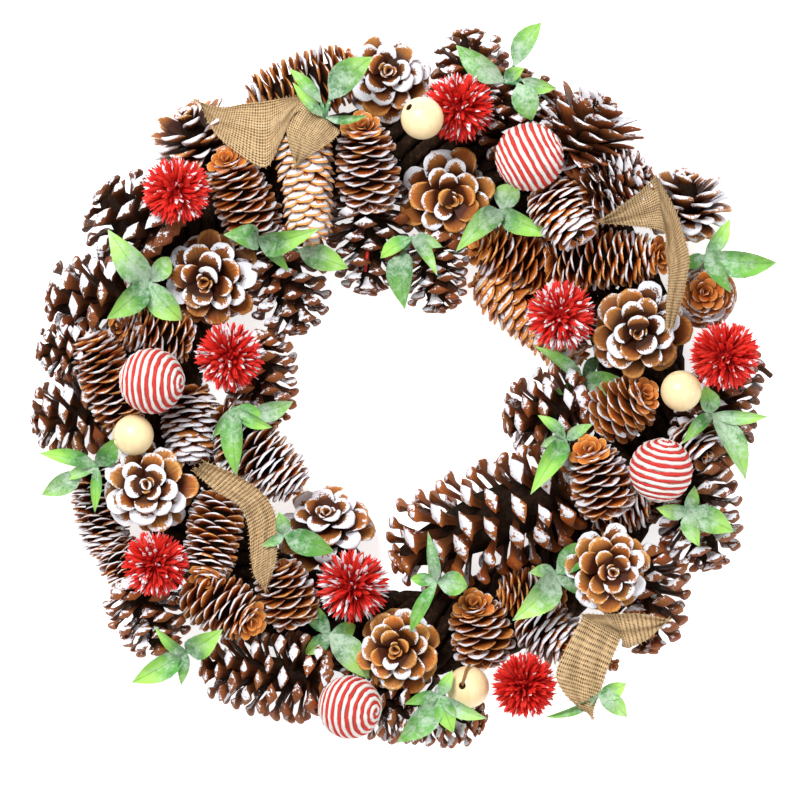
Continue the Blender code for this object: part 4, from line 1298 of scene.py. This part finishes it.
def cone_end(rng):
    """The end of a very small cone beside the lower right burlap."""
    stalk = path_of((588, 636, 24), (602, 652, 23), (613, 666, 26))
    place = Matrix.Translation(stalk[-1]) @ turned_to((0.4, -0.5, 1))
    things = [tube("stalk", stalk, [1.4 * MM, 1.4 * MM, 1.6 * MM], twig_bark)]
    for number in range(END_SCALES):
        share = 0.25 + 0.7 * (1 - number / END_SCALES)
        tip = (4.6 * MM * share, 3 * MM * (1 - share**2))
        local = scale_on(number * GOLDEN_ANGLE, math.radians(30 + 48 * share), tip, 3.6 * MM, 2.8 * MM)
        things.append(copy_at(SMALL_SCALE, place @ local, (0.5, 0.45, rng.random(), 1)))
    return things


def small_things(node):
    """What is too small for a solid, as part of the bunch that it grows from or lies on."""
    if node == "cones_outer_right":
        points = path_of((744, 366, 22), (758, 366, 25), (766, 370, 25), (773, 376, 23))
        return [tube("twig", points, [1.5 * MM, 1.4 * MM, 1.3 * MM, 1.3 * MM], twig_bark, sides=2)]
    if node == "cones_inner_top":
        points = path_of((368, 246, 39), (367, 258, 38), (365, 271, 35))
        return [tube("stem", points, [0.6 * MM, 0.9 * MM, 0.7 * MM], red_stem)]
    if node == "cones_lower_right":
        return cone_end(random.Random("cone end"))
    return []


# What lies on the cones.


class Tops:
    """The upper surface of some finished pieces."""

    def __init__(self, names):
        self.trees = [tree_of(bpy.data.objects[name].data)[1] for name in names]

    def over(self, place, below):
        """The highest point at a place that isn't above a height."""
        found = [first_below(tree, place, below) for tree in self.trees]
        return max((height for height in found if height is not None), default=0.0)


# Leaf sprigs.

LEAF_SAMPLES = [(along / 10, side / 5) for along in range(1, 11) for side in range(-2, 3)]
MOST_LIFT = 8 * MM
LEAF_CLEAR = 0.5 * MM
AT_HEAD = 1 * MM
STALK_RADIUS = 1.2 * MM


def leaf_ends(solid, foot, head, base_pixel, tip_pixel):
    """The base and tip of a leaf as its CAD node has them, and the share of its length that is there."""
    from_foot = math.dist(base_pixel, foot) <= NEAR_FOOT
    base = at(foot if from_foot else base_pixel)
    near_base = solid.over(base, 1.6 * MM)
    base.z = head.z if from_foot or near_base is None else near_base.z
    for share in LEAF_SHARES:
        tip = solid.over(base.lerp(at(tip_pixel), share))
        if tip:
            return base, tip, share
    return base, at(tip_pixel, base.z), 1.0


def leaf_lift(tops, base, tip, wide):
    """How far a leaf's base and tip must rise for it to lie on what is under it."""
    across = UP.cross(tip - base).normalized() * wide
    base_lift = tip_lift = 0.0
    for along, side in LEAF_SAMPLES:
        point = base.lerp(tip, along) + across * side * math.sin(math.pi * along)
        under = tops.over(point, point.z + MOST_LIFT)
        missing = under + LEAF_CLEAR - point.z - base_lift * (1 - along) - tip_lift * along
        if missing > 0:
            base_lift += missing * (1 - along)
            tip_lift += missing * along
    return base_lift, tip_lift


def sprigs():
    tops = Tops([node + "_scales" for node in CONES])
    ceiling = CAD_BOX[1].z - 1.5 * MM
    for node, (foot, leaves) in SPRIGS.items():
        rng = random.Random(node)
        solid = Solid(node)
        head = solid.over(at(foot), 1.5 * MM) or at(foot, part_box(node)[1].z)
        head = at(foot, head.z - 0.6 * MM)
        bottom = min(p.z for p in solid.points if (p.xy - head.xy).length < 2 * MM)
        stalk_foot = at(foot, bottom + 0.6 * MM)
        placed = []
        for leaf in leaves:
            base, tip, share = leaf_ends(solid, foot, head, leaf[:2], leaf[2:4])
            wide = leaf[4] * share * PIXEL * 1.04
            placed.append([base, tip, wide, *leaf_lift(tops, base, tip, wide)])
        beside = [lift for base, _, _, lift, _ in placed if (base - head).length < AT_HEAD]
        rise = max(beside, default=0.0)
        rise = max(rise, tops.over(head, head.z + MOST_LIFT) + 1 * MM - head.z, 0.0)
        raised = head + min(rise, ceiling - head.z) * UP
        stem = [stalk_foot, raised.lerp(stalk_foot, 0.5), raised]
        things = [tube("stalk", stem, [1.4 * MM, STALK_RADIUS, STALK_RADIUS], stalk_green)]
        for base, tip, wide, base_lift, tip_lift in placed:
            at_head = (base - head).length < AT_HEAD
            base = raised.copy() if at_head else base + base_lift * UP
            tip = tip + tip_lift * UP
            base.z, tip.z = min(base.z, ceiling), min(tip.z, ceiling)
            if not at_head:
                middle = raised.lerp(base, 0.5) + 0.8 * MM * UP
                radii = [STALK_RADIUS, 1 * MM, 0.8 * MM]
                things.append(tube("twig", [raised, middle, base], radii, stalk_green))
            axis = tip - base
            across = UP.cross(axis).normalized()
            up = axis.cross(across).normalized()
            tilt = Matrix.Rotation(rng.uniform(-0.32, 0.32), 4, axis.normalized())
            columns = [axis, tilt @ (across * wide), tilt @ (up * axis.length)]
            look = (rng.uniform(0.2, 1.0), rng.uniform(-0.1, 0.8), rng.random(), 0)
            things.append(copy_at(LEAF, from_columns(columns, base), look))
        dressed(joined(node + "_leaves", things), node)


# Burlap.

CLOTH_ACROSS = 14
CLOTH_ALONG = 42
COLUMNS = CLOTH_ACROSS + 1
ROWS = CLOTH_ALONG + 1
CLOTH_CLEAR = 0.7 * MM
LOOK_ROUND = 1.2 * MM  # how far round a point what is under the cloth is looked for
SAG = 0.03 * MM  # for each round of settling
FOLD = 1.5 * MM
THREAD_RADIUS = 0.2 * MM


def along_line(points, share):
    """A point at a share of a smooth line through points."""
    spot = share * (len(points) - 1)
    index = min(int(spot), len(points) - 2)
    t = spot - index
    p0, p1 = points[max(index - 1, 0)], points[index]
    p2, p3 = points[index + 1], points[min(index + 2, len(points) - 1)]
    return 0.5 * (
        2 * p1 + (p2 - p0) * t + (2 * p0 - 5 * p1 + 4 * p2 - p3) * t**2 + (3 * p1 - p0 - 3 * p2 + p3) * t**3
    )


def draped(heights, floors, rounds=70):
    """Settles a net of heights: each sinks to the mean of its neighbours, but not into what is under it."""
    for _ in range(rounds):
        settled = list(heights)
        for row in range(ROWS):
            for column in range(COLUMNS):
                around = [
                    heights[r * COLUMNS + c]
                    for r, c in ((row - 1, column), (row + 1, column), (row, column - 1), (row, column + 1))
                    if 0 <= r < ROWS and 0 <= c < COLUMNS
                ]
                here = row * COLUMNS + column
                settled[here] = max(floors[here], sum(around) / len(around) - SAG)
        heights = settled
    return heights


def fringe(node, cloth, rng):
    """Loose threads along the edges of a strip, longer at its two ends."""
    verts = [vert.co.copy() for vert in cloth.data.vertices]
    ends = []
    for row, inner in ((0, 1), (CLOTH_ALONG, CLOTH_ALONG - 1)):
        for column in range(COLUMNS):
            edge, inside = verts[row * COLUMNS + column], verts[inner * COLUMNS + column]
            ends.append((edge, inside, rng.uniform(1.2, 3.6)))
    for row in range(1, CLOTH_ALONG):
        for column, inner in ((0, 1), (CLOTH_ACROSS, CLOTH_ACROSS - 1)):
            edge, inside = verts[row * COLUMNS + column], verts[row * COLUMNS + inner]
            ends.append((edge, inside, rng.uniform(0.5, 1.5)))
    things = []
    for edge, inside, length in ends:
        out = (edge - inside).normalized()
        side = Vector([rng.uniform(-0.5, 0.5) for _ in range(3)])
        start = edge - out * 0.4 * MM
        middle = edge + (out + 0.4 * side) * length * 0.5 * MM
        end = edge + (out + side) * length * MM
        radii = [THREAD_RADIUS, THREAD_RADIUS, 0.6 * THREAD_RADIUS]
        things.append(tube("thread", [start, middle, end], radii, loose_thread, sides=0))
    piece = joined(node + "_fringe", things)
    kept_inside(piece)
    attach(piece, "root")
    return piece


def burlap(node, rests_on, lines_along, edges):
    """A strip of cloth laid over the cones, with its own weave and frayed edges."""
    rng = random.Random(node)
    solid = Solid(node)
    tops = Tops([name + "_scales" for name in rests_on])
    left = [at(row[:2]) for row in edges]
    right = [at(row[2:]) for row in edges]
    deselect()
    bpy.ops.mesh.primitive_grid_add(x_subdivisions=CLOTH_ACROSS, y_subdivisions=CLOTH_ALONG, size=1)
    cloth = bpy.context.object
    cloth.name = node + "_cloth"
    _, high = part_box(node)
    places, heights, floors, folds = [], [], [], []
    for vert in cloth.data.vertices:
        u, v = vert.co.x + 0.5, vert.co.y + 0.5
        start, end = along_line(left, v), along_line(right, v)
        place = start.lerp(end, 0.03 + 0.94 * u)
        top = solid.top(place)
        if top is None:
            middle = start.lerp(end, 0.5)
            inwards = (solid.top(place.lerp(middle, step / 10)) for step in range(1, 11))
            top = next((height for height in inwards if height), high.z)
        around = [Vector((x, y, 0)) * LOOK_ROUND for x, y in ((0, 0), (1, 0), (-1, 0), (0, 1), (0, -1))]
        under = max(tops.over(place + step, top + MOST_LIFT) for step in around)
        places.append(place)
        folds.append(FOLD * (1 + math.sin(math.tau * 2.2 * u + 2.5 * math.sin(5 * v))))
        floors.append(max(under + CLOTH_CLEAR, top - 2 * MM))
        heights.append(max(top, floors[-1]))
    heights = draped(heights, floors)
    for vert, place, height, fold in zip(cloth.data.vertices, places, heights, folds):
        vert.co = Vector((place.x, place.y, height + fold))
    bpy.ops.object.mode_set(mode="EDIT")
    bpy.ops.mesh.select_all(action="SELECT")
    bpy.ops.mesh.vertices_smooth(factor=0.4, repeat=1, xaxis=False, yaxis=False)
    bpy.ops.object.mode_set(mode="OBJECT")
    bpy.ops.object.shade_smooth()
    cloth.data.materials.append(burlap_weave)
    kept_inside(cloth)
    rows = [cloth.data.vertices[row * COLUMNS:(row + 1) * COLUMNS] for row in range(ROWS)]
    width = max(sum((a.co - b.co).length for a, b in zip(row, row[1:])) for row in rows)
    centre = CLOTH_ACROSS // 2
    length = sum((a[centre].co - b[centre].co).length for a, b in zip(rows, rows[1:]))
    for loop in cloth.data.uv_layers[0].data:
        place = (loop.uv[0] * width, loop.uv[1] * length)
        loop.uv = place if lines_along else place[::-1]
    threads = fringe(node, cloth, rng)
    dressed(cloth, node)
    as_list(rests_on)


# The ring of vines.

VINE_POINTS = 110
OUTER_VINES = 10
INNER_VINES = 4
RING_RADIUS = 117 * MM
RING_HEIGHT = 11 * MM


def vine_ring():
    rng = random.Random("vines")
    middle = at(RING_MIDDLE)
    things = []
    # How wide and tall a vine's twist is, its radius, where it starts and how often it turns.
    strands = [(18.5, 6.7, 4.0, i / OUTER_VINES * math.tau, 7) for i in range(OUTER_VINES)]
    strands += [(8.5, 3.2, 4.4, i / INNER_VINES * math.tau, -5) for i in range(INNER_VINES)]
    for wide, tall, thick, phase, turns in strands:
        points, radii = [], []
        for number in range(VINE_POINTS):
            around = number / VINE_POINTS * math.tau
            turn = turns * around + phase
            drift = 1.2 * noise.noise(Vector((math.cos(around) * 3, math.sin(around) * 3, phase)))
            out = RING_RADIUS + (wide * math.cos(turn) + drift) * MM
            radius = thick * (0.86 + 0.16 * noise.noise(Vector((around * 6, phase, 1)))) * MM
            height = max(RING_HEIGHT + tall * math.sin(turn) * MM, radius + 0.2 * MM)
            points.append(middle + Vector((out * math.cos(around), out * math.sin(around), height)))
            radii.append(radius)
        things.append(tube("vine", points, radii, vine_bark_painted_shade, cyclic=True))
    dressed(joined("vine_ring_vines", things), "vine_ring")


# The floor, the light and the camera.

LENS = 400  # mm
SENSOR = 36  # mm
SUBJECT_HEIGHT = 45 * MM


def studio():
    deselect()
    bpy.ops.mesh.primitive_plane_add(size=6, location=(0, 0, -0.0005))
    floor = bpy.context.object
    floor.name = "floor"
    pale = [(0.0, (0.93, 0.93, 0.93)), (1.0, (0.96, 0.96, 0.96))]
    material = grained("floor", 0.9, 0.1, (3, 2), pale)
    shader = material.node_tree.nodes["Principled BSDF"]
    shader.inputs["Emission Color"].default_value = (1, 1, 1, 1)
    shader.inputs["Emission Strength"].default_value = 0.75
    floor.data.materials.append(material)
    floor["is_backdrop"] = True

    world = bpy.data.worlds.new("studio")
    world.use_nodes = True
    sky = world.node_tree.nodes["Background"].inputs
    sky["Color"].default_value = (1, 1, 1, 1)
    sky["Strength"].default_value = 0.45
    bpy.context.scene.world = world

    for name, place, size, power in (
        ("key", (-0.55, 0.75, 1.5), 0.7, 32),
        ("fill", (0.9, -0.5, 1.2), 1.2, 9),
    ):
        light = bpy.data.lights.new(name, "AREA")
        light.size = size
        light.energy = power
        lamp = bpy.data.objects.new(name, light)
        lamp.location = place
        lamp.rotation_euler = (-Vector(place)).to_track_quat("-Z", "Y").to_euler()
        bpy.context.scene.collection.objects.link(lamp)

    camera = bpy.data.cameras.new("camera")
    camera.lens = LENS
    camera.sensor_width = SENSOR
    camera.clip_end = 50
    eye = bpy.data.objects.new("camera", camera)
    distance = PICTURE_WIDTH * PIXEL * LENS / SENSOR
    eye.location = at(PICTURE_MIDDLE, SUBJECT_HEIGHT + distance)
    bpy.context.scene.collection.objects.link(eye)
    bpy.context.scene.camera = eye
    bpy.context.scene.view_settings.view_transform = "Standard"


studio()
vine_ring()
cones()
pompoms()
twine_balls()
for name, pole in BEADS.items():
    bead(name, pole)
sprigs()
for name, strip in BURLAP.items():
    burlap(name, *strip)

boxes = {"cad": CAD_BOX, "visual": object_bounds()}
{name: [list(corner) for corner in box] for name, box in boxes.items()}
